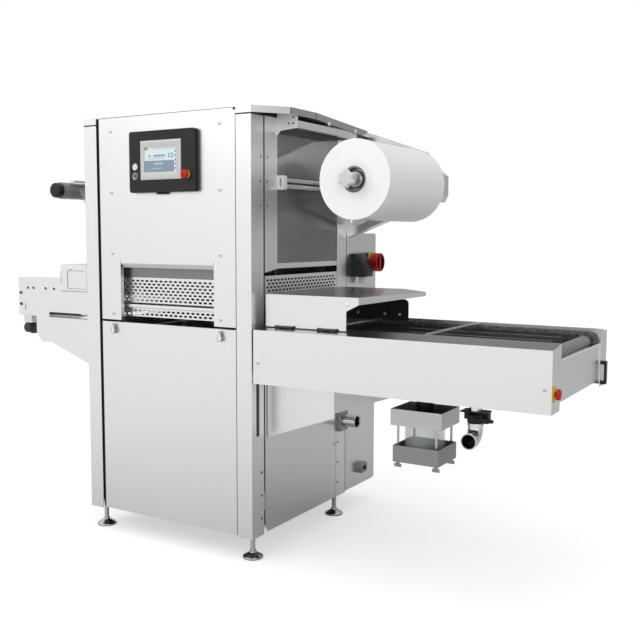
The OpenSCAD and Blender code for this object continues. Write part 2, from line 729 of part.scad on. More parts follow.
module side_end() polygon([[infeed_y0 + sheet, infeed_z0], [infeed_y0 + sheet,
  infeed_top - 1.15 * sheet + top_rise * sheet / side_box],
  [inner_y0 - sheet, infeed_top + top_rise - 1.15 * sheet], [inner_y0 - sheet, inner_z0],
    [inner_y0 - sheet - over, infeed_z0]]);
module side_panel() difference() {
  union() {
    along_x(infeed_x0, infeed_l) side_profile();
    along_x(infeed_l - sheet, infeed_l) side_end();
    for (x = [drive_x, tail_x]) rod_y([x, inner_y0 - sheet - boss_l, chain_z], boss_r, boss_l);
  }
  for (x = [drive_x, tail_x]) rod_y([x, inner_y0 - sheet - boss_l - over, chain_z], journal_r + run_gap,
    boss_l + sheet + 2 * over);
  rod_x([infeed_l - sheet - over, end_stop_y, end_stop_z], estop_stem_r + run_gap, sheet + 2 * over);
}
module infeed_mirror() translate([0, infeed_y0 + infeed_y1, 0]) mirror([0, 1, 0]) children();
module infeed_side_panels() placed(pale) {
  side_panel();
  infeed_mirror() side_panel();
  infeed_end();
}
end_panel_z0 = 795;
end_panel_top = 945;
module infeed_end() {
  block([infeed_l - 2 * sheet, inner_y0 + seat_gap, end_panel_z0], [infeed_l - sheet, inner_y1 - seat_gap,
    end_panel_top]);
  for (y = [inner_y0 + seat_gap, inner_y1 - seat_gap - sheet])
    block([infeed_l - hem, y, end_panel_z0], [infeed_l - 2 * sheet, y + sheet, end_panel_top - hem / 2]);
  block([infeed_l - hem / 2, inner_y0 + seat_gap, end_panel_z0],
    [infeed_l - 2 * sheet, inner_y1 - seat_gap, end_panel_z0 + sheet]);
}
bed_x0 = 20;
bed_end = 45;
bed_x1 = tail_x - bed_end;
guide_in = 13;
guide_w = 20;
chain_y0 = inner_y0 + guide_in;
chain_y1 = inner_y1 - guide_in - guide_w;
roller_r = 8;
plate_t = 3;
roller_l = 12;
plate_gap = 0.2;
strip_w = 12;
strip_shares = [0.25, 0.5, 0.75];
brace_share = [0.12, 0.5, 0.88];
brace_w = 50;
brace_h = 30;
guide_top = chain_z + wheel_r - roller_r - seat_gap;
module infeed_bed() placed(dark) {
  block([bed_x0, chain_y0 + 2 * guide_w, bed_z - bed_t], [bed_x1, inner_y1 - guide_in - 2 * guide_w, bed_z]);
  block([drive_x + wheel_r + roller_r, chain_y0 + plate_t + plate_gap + over, bed_z - bed_t],
    [tail_x - wheel_r - roller_r, chain_y1 + plate_t + plate_gap + roller_l - over, bed_z]);
  for (s = brace_share) translate([bed_x0 + s * (bed_x1 - bed_x0), 0, 0]) {
    block([-brace_w / 2, inner_y0, hang_z1], [brace_w / 2, inner_y1, hang_z1 + brace_h]);
    block([-brace_w / 2, chain_y0 + 3 * guide_w, hang_z1 + brace_h], [brace_w / 2,
      inner_y1 - guide_in - 3 * guide_w, bed_z - bed_t]);
  }
  for (s = strip_shares)
    block([drive_x + 2 * wheel_r, inner_y0 + s * (inner_y1 - inner_y0) - strip_w / 2, bed_z],
      [tail_x - 2 * wheel_r, inner_y0 + s * (inner_y1 - inner_y0) + strip_w / 2, guide_top]);
  for (y = [chain_y0, chain_y1]) {
    block([drive_x + wheel_r + roller_r, y + plate_t + plate_gap + over, bed_z], [tail_x - wheel_r - roller_r,
      y + plate_t + plate_gap + roller_l - over, guide_top]);
  }
}

// Roller chain: scalloped plates and rollers that follow the loop round both wheels
wrap_l = PI * wheel_travel;
samples = 4;
function on_loop(s, h) =
  s < chain_span ? [drive_x + s, chain_z + wheel_r + h] :
  s < chain_span + wrap_l ? let (a = 90 - 180 * (s - chain_span) / wrap_l)
    [tail_x + (wheel_r + h) * cos(a), chain_z + (wheel_r + h) * sin(a)] :
  s < 2 * chain_span + wrap_l ? [tail_x - (s - chain_span - wrap_l), chain_z - wheel_r - h] :
  let (a = 270 - 180 * (s - 2 * chain_span - wrap_l) / wrap_l)
    [drive_x + (wheel_r + h) * cos(a), chain_z + (wheel_r + h) * sin(a)];
function scallop(k, big, small) = small + (big - small) * pow(cos(180 * k / samples), 2);
module chain_strip(y0, y1, big, small) along_y(y0, y1) difference() {
  polygon([for (k = [0 : chain_links * samples - 1]) on_loop(k * chain_pitch / samples, scallop(k, big,
    small))]);
  polygon([for (k = [0 : chain_links * samples - 1]) on_loop(k * chain_pitch / samples, -scallop(k, big,
    small))]);
}
plate_waist = 5.5;
roller_waist = 2;
module chain(y) {
  chain_strip(y, y + plate_t, plate_r, plate_waist);
  chain_strip(y + plate_t + plate_gap, y + plate_t + plate_gap + roller_l, roller_r, roller_waist);
  chain_strip(y + plate_t + 2 * plate_gap + roller_l, y + 2 * plate_t + 2 * plate_gap + roller_l, plate_r,
    plate_waist);
}
module infeed_chains() placed(grey) for (y = [chain_y0, chain_y1]) chain(y);

// Pusher bars ride on the chains
bar_x = [270, 720];
bar_w = 24;
bar_t = 6;
bar_lug_h = 18;
bar_lug_t = 5;
bar_z = chain_z + wheel_r + plate_r + seat_gap;
bar_in = 6;
bar_foot_h = 4;
module pusher_bars() placed(pale) for (x = bar_x) {
  block([x - bar_w / 2, inner_y0 + bar_in, bar_z], [x + bar_w / 2, inner_y1 - bar_in, bar_z + bar_t]);
  block([x - bar_t / 2, chain_y0 + guide_w + bar_lug_t, bar_z + bar_t / 2],
    [x + bar_t / 2, chain_y1 - bar_lug_t, bar_z + bar_t + bar_foot_h]);
  for (y = [chain_y0 - bar_lug_t - over, chain_y0 + guide_w + over,
            chain_y1 - bar_lug_t - over, inner_y1 - guide_in + over])
    block([x - bar_w / 4, y, bar_z - bar_lug_h], [x + bar_w / 4, y + bar_lug_t, bar_z]);
}

// Chain shafts
wheel_t = 8;
wheel_tip = wheel_r - roller_r - seat_gap;
wheel_root_share = 0.8;
shaft_r = 14;
knurl_r = 27;
journal_in = 12;
module chain_wheel(x, y) along_y(y - wheel_t / 2, y + wheel_t / 2) translate([x, chain_z])
  polygon([for (k = [0 : 4 * chain_teeth - 1]) let (a = 90 * k / chain_teeth,
    r = wheel_tip * (k % 4 < 2 ? 1 : wheel_root_share)) [r * cos(a), r * sin(a)]]);
module chain_shaft(x, r) {
  rod_y([x, inner_y0 - sheet - journal_in, chain_z], journal_r,
    inner_y1 - inner_y0 + 2 * sheet + 2 * journal_in);
  rod_y([x, inner_y0 + over, chain_z], shaft_r, inner_y1 - inner_y0 - 2 * over);
  for (y = [chain_y0 + guide_w / 2 - over, chain_y1 + guide_w / 2 - over]) chain_wheel(x, y);
  rod_y([x, chain_y0 + 2 * guide_w, chain_z], r, inner_y1 - inner_y0 - 2 * guide_in - 4 * guide_w);
}
module infeed_drive_shaft() placed(grey) chain_shaft(drive_x, shaft_r + over);
module infeed_tail_roller() placed(grey) chain_shaft(tail_x, knurl_r);

// Handle on the far end face
handle_in = 79;
handle_y = infeed_y1 - handle_in;
handle_z0 = 776;
handle_z1 = 872;
handle_w = 20;
handle_out = 22;
handle_grip = 9;
handle_foot = 14;
module strap_handle() placed(black) along_y(handle_y - handle_w / 2, handle_y + handle_w / 2) difference() {
  round_area([infeed_l, handle_z0], [infeed_l + handle_out, handle_z1], handle_grip / 2);
  round_area([infeed_l - handle_grip, handle_z0 + handle_foot], [infeed_l + handle_out - handle_grip,
    handle_z1 - handle_foot], handle_grip / 2);
}

// Entry cover with hinges and flared end
cover_x0 = 30;
cover_x1 = 466;
cover_y0 = 60;
cover_back = 14;
cover_y1 = inner_y1 + cover_back;
cover_top = 1137;
cover_z0 = 1003;
cover_cut_x = 411;
cover_cut_z = 1081;
cover_end_z = 1108;
cover_fold_x = 355;
hinge_y = 53;
hinge_z = 1004;
hinge_pin_r = 3;
hinge_knuckle_r = 5;
hinge_xs = [86, 288];
hinge_l = 80;
knuckle_l = 24;
flap_drop = 10;
screw_in_cover = 50;
module cover_front() polygon([[cover_x0, cover_z0], [cover_cut_x, cover_z0], [cover_cut_x, cover_cut_z],
  [cover_x1, cover_end_z], [cover_x1, cover_top], [cover_x0, cover_top]]);
module guard_cover() placed(pale) {
  along_y(cover_y0, cover_y0 + sheet) cover_front();
  along_z(cover_top - sheet, cover_top) polygon([[cover_x0, cover_y0 + sheet], [cover_x1, cover_y0 + sheet],
    [cover_fold_x, cover_y1], [cover_x0, cover_y1]]);
  difference() {
    union() {
      block([cover_x0, cover_y1 - sheet, cover_end_z], [cover_x1, cover_y1, cover_top]);
      block([cover_x1 - sheet, cover_y0 + sheet, cover_end_z], [cover_x1, cover_y1, cover_top]);
      intersection() {
        at_fold([[0, 0], [fold_reach, -flap_drop], [fold_reach, -flap_drop - sheet], [0, -sheet]]);
        block([cover_fold_x - over, cover_y0 + sheet, cover_end_z], [cover_x1, cover_y1, cover_top]);
      }
    }
    at_fold([[0, 0], [2 * fold_reach, -2 * flap_drop], [2 * fold_reach, over], [0, over]]);
  }
  for (x = hinge_xs) {
    difference() {
      union() {
        rod_x([x + knuckle_l + seat_gap, hinge_y, hinge_z], hinge_knuckle_r,
          hinge_l - 2 * knuckle_l - 2 * seat_gap);
        block([x + knuckle_l + seat_gap, hinge_y, hinge_z], [x + hinge_l - knuckle_l - seat_gap, cover_y0,
          hinge_z + hinge_knuckle_r]);
      }
      rod_x([x, hinge_y, hinge_z], hinge_pin_r + run_gap, hinge_l);
    }
  }
  turned_y(cover_x1 - screw_in_cover, cover_end_z, [[0, cover_y0 - screw_h], [screw_r / 2,
    cover_y0 - screw_h],
    [screw_r, cover_y0 - screw_h / 2], [screw_r, cover_y0], [0, cover_y0]]);
}
// The end flap folds down along a slanting line
fold_turn = atan2(cover_x1 - cover_fold_x, cover_y1 - cover_y0 - sheet);
fold_reach = (cover_x1 - cover_fold_x) * cos(fold_turn);
fold_len = (cover_x1 - cover_fold_x) / sin(fold_turn);
module at_fold(points) translate([cover_x1, cover_y0 + sheet, cover_top]) rotate([0, 0, fold_turn])
  along_y(-fold_reach, fold_len + fold_reach) polygon(points);
module cover_hinges() placed(dark) for (x = hinge_xs) {
  rod_x([x, hinge_y, hinge_z], hinge_pin_r, hinge_l);
  for (k = [x, x + hinge_l - knuckle_l]) difference() {
    union() {
      rod_x([k, hinge_y, hinge_z], hinge_knuckle_r, knuckle_l);
      along_x(k, k + knuckle_l) polygon([[hinge_y - hinge_knuckle_r, hinge_z], [hinge_y + hinge_knuckle_r,
        hinge_z],
        [hinge_y + hinge_knuckle_r, side_top(hinge_y + hinge_knuckle_r)], [hinge_y - hinge_knuckle_r,
          side_top(hinge_y - hinge_knuckle_r)]]);
    }
    rod_x([k - over, hinge_y, hinge_z], hinge_pin_r - over, knuckle_l + 2 * over);
  }
}
function side_top(y) = infeed_top + top_rise * (y - infeed_y0) / side_box;

// Guide plate behind the entry cover
back_x0 = 45;
back_x1 = 388;
back_z0 = 985;
back_z1 = 1090;
back_round = 20;
back_bolt_xs = [130, 270, 345];
back_bolt_z = 1020;
back_t = 3;
module cover_back_plate() placed(black) {
  along_y(inner_y1 - back_t, inner_y1) {
    round_area([back_x0, back_z0], [back_x1, back_z1], back_round);
    area([back_x0, back_z0], [back_x1, back_z0 + back_round]);
  }
  for (x = back_bolt_xs) rod_y([x, inner_y1 - back_t - screw_h, back_bolt_z], screw_r, screw_h);
}

// Plates that carry the conveyors on the station
gusset_t = 4;
gusset_z = [520, 640];
gusset_x = 336;
skirt_x = 345;
skirt_z = [777, 863, 905];
skirt_shares = [0.70, 0.90];
skirt_top = 984;
module infeed_gusset() along_y(inner_y0 - sheet - seat_gap - gusset_t, inner_y0 - sheet - seat_gap)
  polygon([[0, gusset_z[0]], [gusset_x, gusset_z[1]], [gusset_x, inner_z0 + hem], [0, inner_z0 + hem]]);
module outfeed_skirt() along_y(infeed_y0 - gusset_t, infeed_y0)
  polygon([[left_x, skirt_z[0]], [left_x - skirt_shares[0] * skirt_x, skirt_z[1]],
    [left_x - skirt_shares[1] * skirt_x, skirt_z[1]], [left_x - skirt_x, skirt_z[2]],
    [left_x - skirt_x, skirt_top], [left_x, skirt_top]]);
module skirt_arm() block([left_x - skirt_x + hem, infeed_y0, skirt_top - hem], [left_x, infeed_y0 + hem,
  skirt_top]);
module gusset_plates() placed(pale) {
  infeed_gusset();
  infeed_mirror() infeed_gusset();
  outfeed_skirt();
  skirt_arm();
  infeed_mirror() { outfeed_skirt(); skirt_arm(); }
}

// Frame and pane of the infeed side
strip_y1 = 192;
strip_z0 = 1222;
strip_rise = 14;
bar_low = 1237;
bar_high = 1259;
bracket_drop = 85;
bracket_z0 = body_h - bracket_drop;
bracket_round = 18;
bracket_h = 27;
bracket_lift = 8;
bracket_gap = 2;
rail_c_w = 25;
rail_c_z0 = bracket_z0 + bracket_lift;
rail_c_h = 30;
canopy_in = canopy_w - sheet - canopy_taper - rail_c_w;
pane_t = 4;
module infeed_guard_frame() placed(pale) {
  difference() {
    along_x(-sheet, 0) polygon([[side_y0, strip_z0], [strip_y1, strip_z0 + strip_rise], [strip_y1,
      bar_low], [side_y1, bar_low],
      [side_y1, bar_high], [strip_y1, bar_high], [strip_y1, post_top - sheet], [side_y0, post_top - sheet]]);
    for (k = [0 : hole_rows - 1]) rod_x([-sheet - over, side_y0 + bracket_round,
      hole_high + k * hole_step], hole_r, sheet + 2 * over);
  }
  block([-rail_c_w, strip_y1, bar_low], [-sheet, side_y1, bar_low + sheet]);
  difference() {
    along_y(strip_y1 - sheet, strip_y1) polygon([[0, bracket_z0 - bracket_round], [bracket_round, bracket_z0],
      [canopy_in + rail_c_w, rail_c_z0], [canopy_in + rail_c_w, body_h - sheet - bracket_gap],
      [0, body_h - sheet - bracket_gap]]);
    for (x = [0.55, 0.75]) rod_y([x * canopy_w, strip_y1 - sheet - over, bracket_z0 + bracket_h], hole_r,
      sheet + 2 * over);
  }
  difference() {
    block([canopy_in, strip_y1, rail_c_z0], [canopy_in + rail_c_w, side_y1, rail_c_z0 + rail_c_h]);
    block([canopy_in - over, strip_y1 - over, rail_c_z0 + sheet], [canopy_in + rail_c_w - sheet,
      side_y1 + over, rail_c_z0 + rail_c_h - sheet]);
  }
  block([0, side_y1 - sheet, rail_c_z0], [canopy_in + rail_c_w, side_y1, post_top - roof_fall]);
}
module infeed_guard_pane() placed([0.45, 0.47, 0.5])
  block([-sheet - pane_t, side_y0 + seat_gap, bar_high - bracket_lift], [-sheet, side_y1,
    post_top - 2 * sheet]);

// Film reel on its mandrel
reel_y0 = tool_y0;
reel_y1 = reel_y0 + film_w;
mandrel_face = 20;
mandrel_nose_r = 36;
stud_r = 8;
stud_l = 64;
reel_flange_r = 70;
reel_flange_t = 8;
axle_r = 20;
bearing_l = 90;
knob_r = 32;
knob_wave = 5;
knob_lobes = 6;
knob_t = 26;
knob_y = 58;
knob_hub_r = 16;
arm_y0 = body_d + seat_gap;
arm_t = 6;
module film_roll() placed(white)
  turned_y(reel_x, reel_z, [[reel_bore_r, reel_y0], [reel_r, reel_y0], [reel_r, reel_y1], [reel_bore_r,
    reel_y1]]);
module roll_mandrel() placed(grey) turned_y(reel_x, reel_z, [[0, reel_y0 - stud_l], [stud_r,
  reel_y0 - stud_l],
  [stud_r, reel_y0 + over], [mandrel_nose_r - stud_r, reel_y0 + over], [mandrel_nose_r, reel_y0 + stud_r],
  [mandrel_nose_r, reel_y0 + mandrel_face], [reel_bore_r - seat_gap, reel_y0 + mandrel_face],
  [reel_bore_r - seat_gap, reel_y1 + seat_gap], [reel_flange_r, reel_y1 + seat_gap],
  [reel_flange_r, reel_y1 + reel_flange_t], [axle_r, reel_y1 + reel_flange_t], [axle_r, arm_y0 + arm_t / 2],
  [0, arm_y0 + arm_t / 2]]);
module roll_knob() placed(white) difference() {
  union() {
    along_y(knob_y, knob_y + knob_t) translate([reel_x, reel_z])
      polygon([for (a = [0 : 4 : 356]) (knob_r + knob_wave * cos(knob_lobes * a)) * [cos(a), sin(a)]]);
    rod_y([reel_x, knob_y, reel_z], knob_hub_r, reel_y0 - knob_y + over - seat_gap);
  }
  rod_y([reel_x, knob_y + knob_t / 4, reel_z], stud_r + run_gap, reel_y0);
}
arm_low = [[0, 1368], [426, 1530]];
arm_nose = [[485, 1532], [500, 1562], [500, 1650]];
arm_high = [[475, 1668], [398, 1761], [110, 1862]];
arm_root = 60;
arm_flange = 60;
arm_flange_t = 4;
arm_hole = [[21, 1425], [300, 1560]];
arm_hole_r = 18;
arm_slope = (arm_low[1].y - arm_low[0].y) / arm_low[1].x;
module arm_window() polygon([arm_hole[0] + [0, arm_hole_r], arm_hole[0] + [arm_hole_r, 0],
  arm_hole[0] + [2 * arm_hole_r, 0],
  [arm_hole[1].x, arm_hole[0].y + arm_slope * (arm_hole[1].x - arm_hole[0].x - 2 * arm_hole_r)], arm_hole[1],
  [arm_hole[0].x, arm_hole[1].y]]);
bearing_wall = 22;
module arm_outline() polygon([[-arm_root, cab_top + seat_gap], [seat_gap, cab_top + seat_gap],
  [seat_gap, arm_low[0].y], arm_low[1], arm_nose[0], arm_nose[1], arm_nose[2],
  arm_high[0], arm_high[1], arm_high[2], [0, arm_high[2].y], [-arm_root, arm_high[2].y]]);
// The share draws the flange's inner outline towards the middle
arm_mid = [230, 1630];
module arm_box() intersection() { arm_outline(); area([seat_gap, 0], [body_w, 2 * body_h]); }
flange_share = 0.985;
module unwind_arm() difference() {
  union() {
    along_y(arm_y0, arm_y0 + arm_t) arm_outline();
    along_y(arm_y0 + arm_t, arm_y0 + arm_flange) difference() {
      arm_box();
      translate(arm_mid * (1 - flange_share)) scale(flange_share) arm_outline();
    }
    along_y(arm_y0 + arm_flange - arm_flange_t, arm_y0 + arm_flange) arm_box();
    rod_y([reel_x, arm_y0 - bearing_l, reel_z], axle_r + bearing_wall, bearing_l);
  }
  along_y(arm_y0 - over, arm_y0 + arm_t + over) arm_window();
  rod_y([reel_x, arm_y0 - bearing_l - over, reel_z], axle_r + run_gap, bearing_l + arm_t + 2 * over);
}

// First guide rollers of the film
guide_x = 20;
guide_drop = 300;
guide_step = 13;
guide_zs = [body_h - guide_drop + guide_step, body_h - guide_drop - guide_step];
block_round = 6;
guide_r = 10;
guide_pin_r = 5;
block_h = 50;
block_w = 36;
block_t = 28;
module roller_block(y0) difference() {
  along_y(y0, y0 + block_t) round_area([0, body_h - guide_drop - block_h / 2 - guide_pin_r],
    [block_w, body_h - guide_drop + block_h / 2 + guide_pin_r], block_round);
  for (z = guide_zs) rod_y([guide_x, y0 - over, z], guide_pin_r + run_gap, block_t + 2 * over);
}
block_y0 = strip_y1 - block_round;
block_y1 = rear_y0 + side_gap;
module roller_brackets() placed(white) { roller_block(block_y0); roller_block(block_y1); }
module guide_roller(z) {
  rod_y([guide_x, block_y0 + block_t + seat_gap, z], guide_r,
    block_y1 - block_y0 - block_t - 2 * seat_gap);
  rod_y([guide_x, block_y0 + block_t / 2, z], guide_pin_r, block_y1 - block_y0);
}
module guide_roller_upper() placed(pale) guide_roller(guide_zs[0]);
module guide_roller_lower() placed(pale) guide_roller(guide_zs[1]);

// Rewinder and the skeleton film that runs up to it
rewind_out = 216;
rewind_x = left_x - rewind_out;
rewind_z = 1587;
rewind_y0 = 14;
rewind_cap_r = 35;
rewind_cap_l = 26;
rewind_axle_r = 12;
wrap_r = rewind_r + 10;
web_t = 1;
web_out = 135;
web_start = tool_x0 - web_out;
web_end = -40;
rewind_zs = [1470, 1672];
rewind_side = 60;
rewind_hub_l = 90;
rewind_wall = 14;
press_bar = [[22, 40], [54, 48]];
press_y0 = 90;
web_to = [web_start - rewind_x, film_z - rewind_z];
web_turn = atan2(web_to.y, web_to.x) - asin((wrap_r + seat_gap) / norm(web_to));
web_top = [rewind_x, rewind_z] + (wrap_r + seat_gap) * [cos(web_turn + 90), sin(web_turn + 90)];
web_side = web_t * [cos(web_turn + 90), sin(web_turn + 90)];
module film_web() placed([0.85, 0.88, 0.9]) along_y(tool_y0, tool_y1)
  polygon([[web_end, film_z], [web_start, film_z], web_top, web_top + web_side, [web_start + web_t / 2,
    film_z + web_t], [web_end, film_z + web_t]]);
module rewind_shaft() placed(dark) {
  turned_y(rewind_x, rewind_z, [[0, rewind_y0], [rewind_cap_r * 0.8, rewind_y0], [rewind_cap_r,
    rewind_y0 + rewind_cap_l / 4],
    [rewind_cap_r, rewind_y0 + rewind_cap_l], [rewind_r, rewind_y0 + rewind_cap_l], [rewind_r, tool_y0],
      [wrap_r, tool_y0], [wrap_r, tool_y1], [rewind_r, tool_y1], [rewind_r,
      arm_y0 - rewind_hub_l - seat_gap],
    [rewind_axle_r, arm_y0 - rewind_hub_l - seat_gap], [rewind_axle_r, arm_y0 - seat_gap], [0,
      arm_y0 - seat_gap]]);
}
module rewind_arm() {
  difference() {
    union() {
      along_y(arm_y0, arm_y0 + arm_t) polygon([[left_x + arm_root, rewind_zs[0]],
        [rewind_x - rewind_side / 2, rewind_zs[0] + rewind_side],
        [rewind_x - rewind_side, rewind_z], [rewind_x - rewind_side, rewind_zs[1]],
          [left_x + arm_root, rewind_zs[1]]]);
      rod_y([rewind_x, arm_y0 - rewind_hub_l, rewind_z], rewind_axle_r + rewind_wall,
        rewind_hub_l);
    }
    rod_y([rewind_x, arm_y0 - rewind_hub_l - over, rewind_z], rewind_axle_r + run_gap,
      rewind_hub_l + over);
  }
  block([rewind_x + press_bar[0][0], press_y0, rewind_z + press_bar[0][1]], [rewind_x + press_bar[1][0],
    arm_y0, rewind_z + press_bar[1][1]]);
}

module film_arms() placed(grey) { unwind_arm(); rewind_arm(); }

// Outfeed conveyor
out_x0 = left_x - outfeed_l;
out_t = 4;
out_step = [260, 24];
out_bolt_shares = [0.15, 0.23, 0.41, 0.53];
out_bolt_z = 1121;
out_knob_zs = [1095, 1040];
out_knob_r = 9;
out_slot = [[44, 1012], [50, 1042]];
belt_z = 1020;
out_tail_in = 46;
out_drive_in = 40;
out_tail_x = out_x0 + out_tail_in;
out_drive_x = left_x - out_drive_in;
out_journal_r = 8;
belt_in = 26;
out_boss_r = 18;
out_boss_l = 14;
module out_side() difference() {
  union() {
    along_y(infeed_y0, infeed_y0 + out_t) polygon([[out_x0, out_low], [left_x - out_step.x, out_low],
      [left_x - out_step.x, out_low + out_step.y], [left_x - seat_gap, out_low + out_step.y],
        [left_x - seat_gap, outfeed_top],
      [out_x0, outfeed_top]]);
    block([out_x0 + hem, infeed_y0 + out_t, outfeed_top - out_t], [left_x - sheet, infeed_y0 + hem,
      outfeed_top]);
    for (x = [out_tail_x, out_drive_x]) rod_y([x, infeed_y0 + out_t, belt_z], out_boss_r, out_boss_l);
    for (s = out_bolt_shares) rod_y([out_x0 + s * outfeed_l, infeed_y0 - screw_h, out_bolt_z], screw_r,
      screw_h);
    for (z = out_knob_zs) rod_y([out_x0 + hem / 2, infeed_y0 - screw_h, z], out_knob_r, screw_h);
  }
  along_y(infeed_y0 - over, infeed_y0 + out_t + over) area([out_x0 + out_slot[0][0], out_slot[0][1]],
    [out_x0 + out_slot[1][0], out_slot[1][1]]);
  for (x = [out_tail_x, out_drive_x]) rod_y([x, infeed_y0 + out_t / 2, belt_z], out_journal_r + run_gap,
    out_boss_l + out_t);
}
module outfeed_sides() placed(pale) { out_side(); infeed_mirror() out_side(); }
belt_y0 = infeed_y0 + belt_in;
belt_y1 = infeed_y1 - belt_in;
module belt_loop(r) {
  for (x = [out_tail_x, out_drive_x]) translate([x, belt_z]) circle(r = r);
  area([out_tail_x, belt_z - r], [out_drive_x, belt_z + r]);
}
module outfeed_belt() placed(white) along_y(belt_y0, belt_y1) difference() {
  belt_loop(belt_roller_r + belt_t + seat_gap);
  belt_loop(belt_roller_r + seat_gap);
}
module belt_roller(x) {
  rod_y([x, belt_y0, belt_z], belt_roller_r, belt_y1 - belt_y0);
  rod_y([x, infeed_y0 + out_t, belt_z], out_journal_r, infeed_w - 2 * out_t);
}
module outfeed_drive_roller() placed(grey) belt_roller(out_drive_x);
module outfeed_tail_roller() placed(grey) belt_roller(out_tail_x);

// Cover over the exit
exit_w = 165;
exit_z0 = 1113;
exit_top = 1238;
exit_round = 10;
pocket_in = [42, 12];
pocket_h = 84;
pocket_deep = 1;
exit_knob_r = 7;
exit_knob_h = 8;
module outfeed_cover() placed(pale) {
  exit_x1 = left_x - 2 * sheet;
  exit_x0 = exit_x1 - exit_w;
  difference() {
    along_x(exit_x0, exit_x1) difference() {
      area([infeed_y0 - sheet, exit_z0], [infeed_y1 + sheet, exit_top]);
      area([infeed_y0, exit_z0 - over], [infeed_y1, exit_top - sheet]);
    }
    along_y(infeed_y0 - sheet - over, infeed_y0 - sheet + pocket_deep)
      area([exit_x0 + pocket_in.x, exit_z0 + pocket_in.y], [exit_x1 - pocket_in.y,
        exit_z0 + pocket_in.y + pocket_h]);
    along_y(infeed_y0 - sheet - over, infeed_y1 + sheet + over) difference() {
      area([exit_x0 - over, exit_top - exit_round], [exit_x0 + exit_round, exit_top + over]);
      translate([exit_x0 + exit_round, exit_top - exit_round]) circle(r = exit_round);
    }
  }
  rod_y([exit_x0 + pocket_in.x + hem / 2, infeed_y0 - sheet - exit_knob_h,
    exit_z0 + pocket_in.y + pocket_h + exit_knob_r + sheet], exit_knob_r, exit_knob_h);
}

// Gearmotor under the belt
motor_in = 50;
motor_x = out_x0 + motor_in;
motor_z = 924;
motor_r = 33;
motor_cap_r = 24;
motor_y0 = 6;
motor_l = 190;
motor_beam_h = 22;
module outfeed_motor() placed(black) {
  turned_y(motor_x, motor_z, [[0, motor_y0], [motor_cap_r, motor_y0], [motor_cap_r,
    motor_y0 + motor_cap_r], [motor_r, motor_y0 + motor_r],
    [motor_r, motor_y0 + motor_l], [0, motor_y0 + motor_l]]);
  block([motor_x - motor_r, motor_y0 + motor_l, motor_z - motor_r], [motor_x + motor_r + hem,
    motor_y0 + motor_l + 2 * motor_r, out_low - motor_beam_h]);
  block([motor_x - hem / 2, infeed_y0, out_low - motor_beam_h], [motor_x + hem, infeed_y1, out_low]);
}

// Electric cabinet
cab_y0 = body_d + seat_gap;
cab_y1 = cab_y0 + cab_d;
cab_z0 = floor_gap + 11;
cab_wall = 2.5;
cab_door_t = 14;
cab_door_in = 4;
cab_x0 = -cab_w;
cab_pin_r = 4;
cab_pin_z = [150, 60];
cab_pins = [cab_z0 + cab_pin_z[0], cab_top - cab_pin_z[0] - cab_pin_z[1]];
cab_plate_in = 70;
cab_lock_h = 6;
cab_lock_r = 12;
cab_lock_shares = [0.2, 0.8];
module electric_cabinet() placed(grey) {
  difference() {
    block([cab_x0, cab_y0, cab_z0], [0, cab_y1, cab_top]);
    block([cab_x0 + cab_wall, cab_y0 + cab_wall, cab_z0 + cab_wall], [-cab_wall, cab_y1 + over,
      cab_top - cab_wall]);
  }
  block([cab_x0 + cab_plate_in, cab_y0 + cab_wall, cab_z0 + cab_plate_in], [-cab_plate_in,
    cab_y0 + 2 * cab_wall + hem / 2, cab_top - cab_plate_in]);
  for (z = cab_pins) {
    rod_z([cab_x0 + 3 * cab_pin_r, cab_y1 + 2 * cab_pin_r + seat_gap, z - cab_pin_z[1] / 2], cab_pin_r,
      2 * cab_pin_z[1]);
    block([cab_x0 + cab_wall, cab_y1 - 5 * cab_pin_r, z - cab_pin_z[1] / 2], [cab_x0 + 4 * cab_pin_r,
      cab_y1 + 3 * cab_pin_r, z - over]);
  }
}
module cabinet_door() placed(grey) {
  difference() {
    block([cab_x0 + 2 * cab_pin_r, cab_y1 + seat_gap, cab_z0 + cab_door_in], [0, cab_y1 + cab_door_t,
      cab_top - cab_door_in]);
    block([cab_x0 + 8 * cab_pin_r, cab_y1, cab_z0 + hem], [-hem, cab_y1 + cab_door_t - cab_wall,
      cab_top - hem]);
    for (z = cab_pins) {
      rod_z([cab_x0 + 3 * cab_pin_r, cab_y1 + 2 * cab_pin_r + seat_gap, z - cab_pin_z[1]],
        cab_pin_r + run_gap, 3 * cab_pin_z[1]);
      block([cab_x0 - over, cab_y1, z - cab_pin_z[1]], [cab_x0 + 8 * cab_pin_r, cab_y1 + cab_door_t + over,
        z]);
    }
  }
  for (s = cab_lock_shares)
    rod_y([-hem, cab_y1 + cab_door_t, cab_z0 + s * (cab_top - cab_z0)], cab_lock_r, cab_lock_h);
}

// Fittings on the cabinet's face
switch_in = 218;
switch_drop = 145;
switch_y = cab_y0 + switch_in;
switch_z = cab_top - switch_drop;
switch_plate = 96;
switch_plate_t = 8;
switch_neck_r = 22;
switch_neck_l = 8;
switch_shaft_r = 6;
disc_r = 27;
disc_t = 26;
ring_r = 46;
ring_t = 33;
ring_wall = 6;
grip_w = 15;
pocket_t = 25;
plug_in = 61;
plug_w = 104;
plug_h = 114;
plug_drop = 100;
plug_y = [cab_y0 + plug_in, cab_y0 + plug_in + plug_w];
plug_top = cab_top - plug_drop;
plug_z = [plug_top - plug_h, plug_top];
plug_base = 22;
plug_out = 62;
gland_r = 20;
gland_h = 34;
socket_in = 122;
socket_w = 62;
socket_h = 48;
socket_y = [cab_y0 + socket_in, cab_y0 + socket_in + socket_w];
socket_z = [cab_z0 + 1.35 * socket_h, cab_z0 + 2.35 * socket_h];
socket_d = 28;
socket_hole = [34, 22];
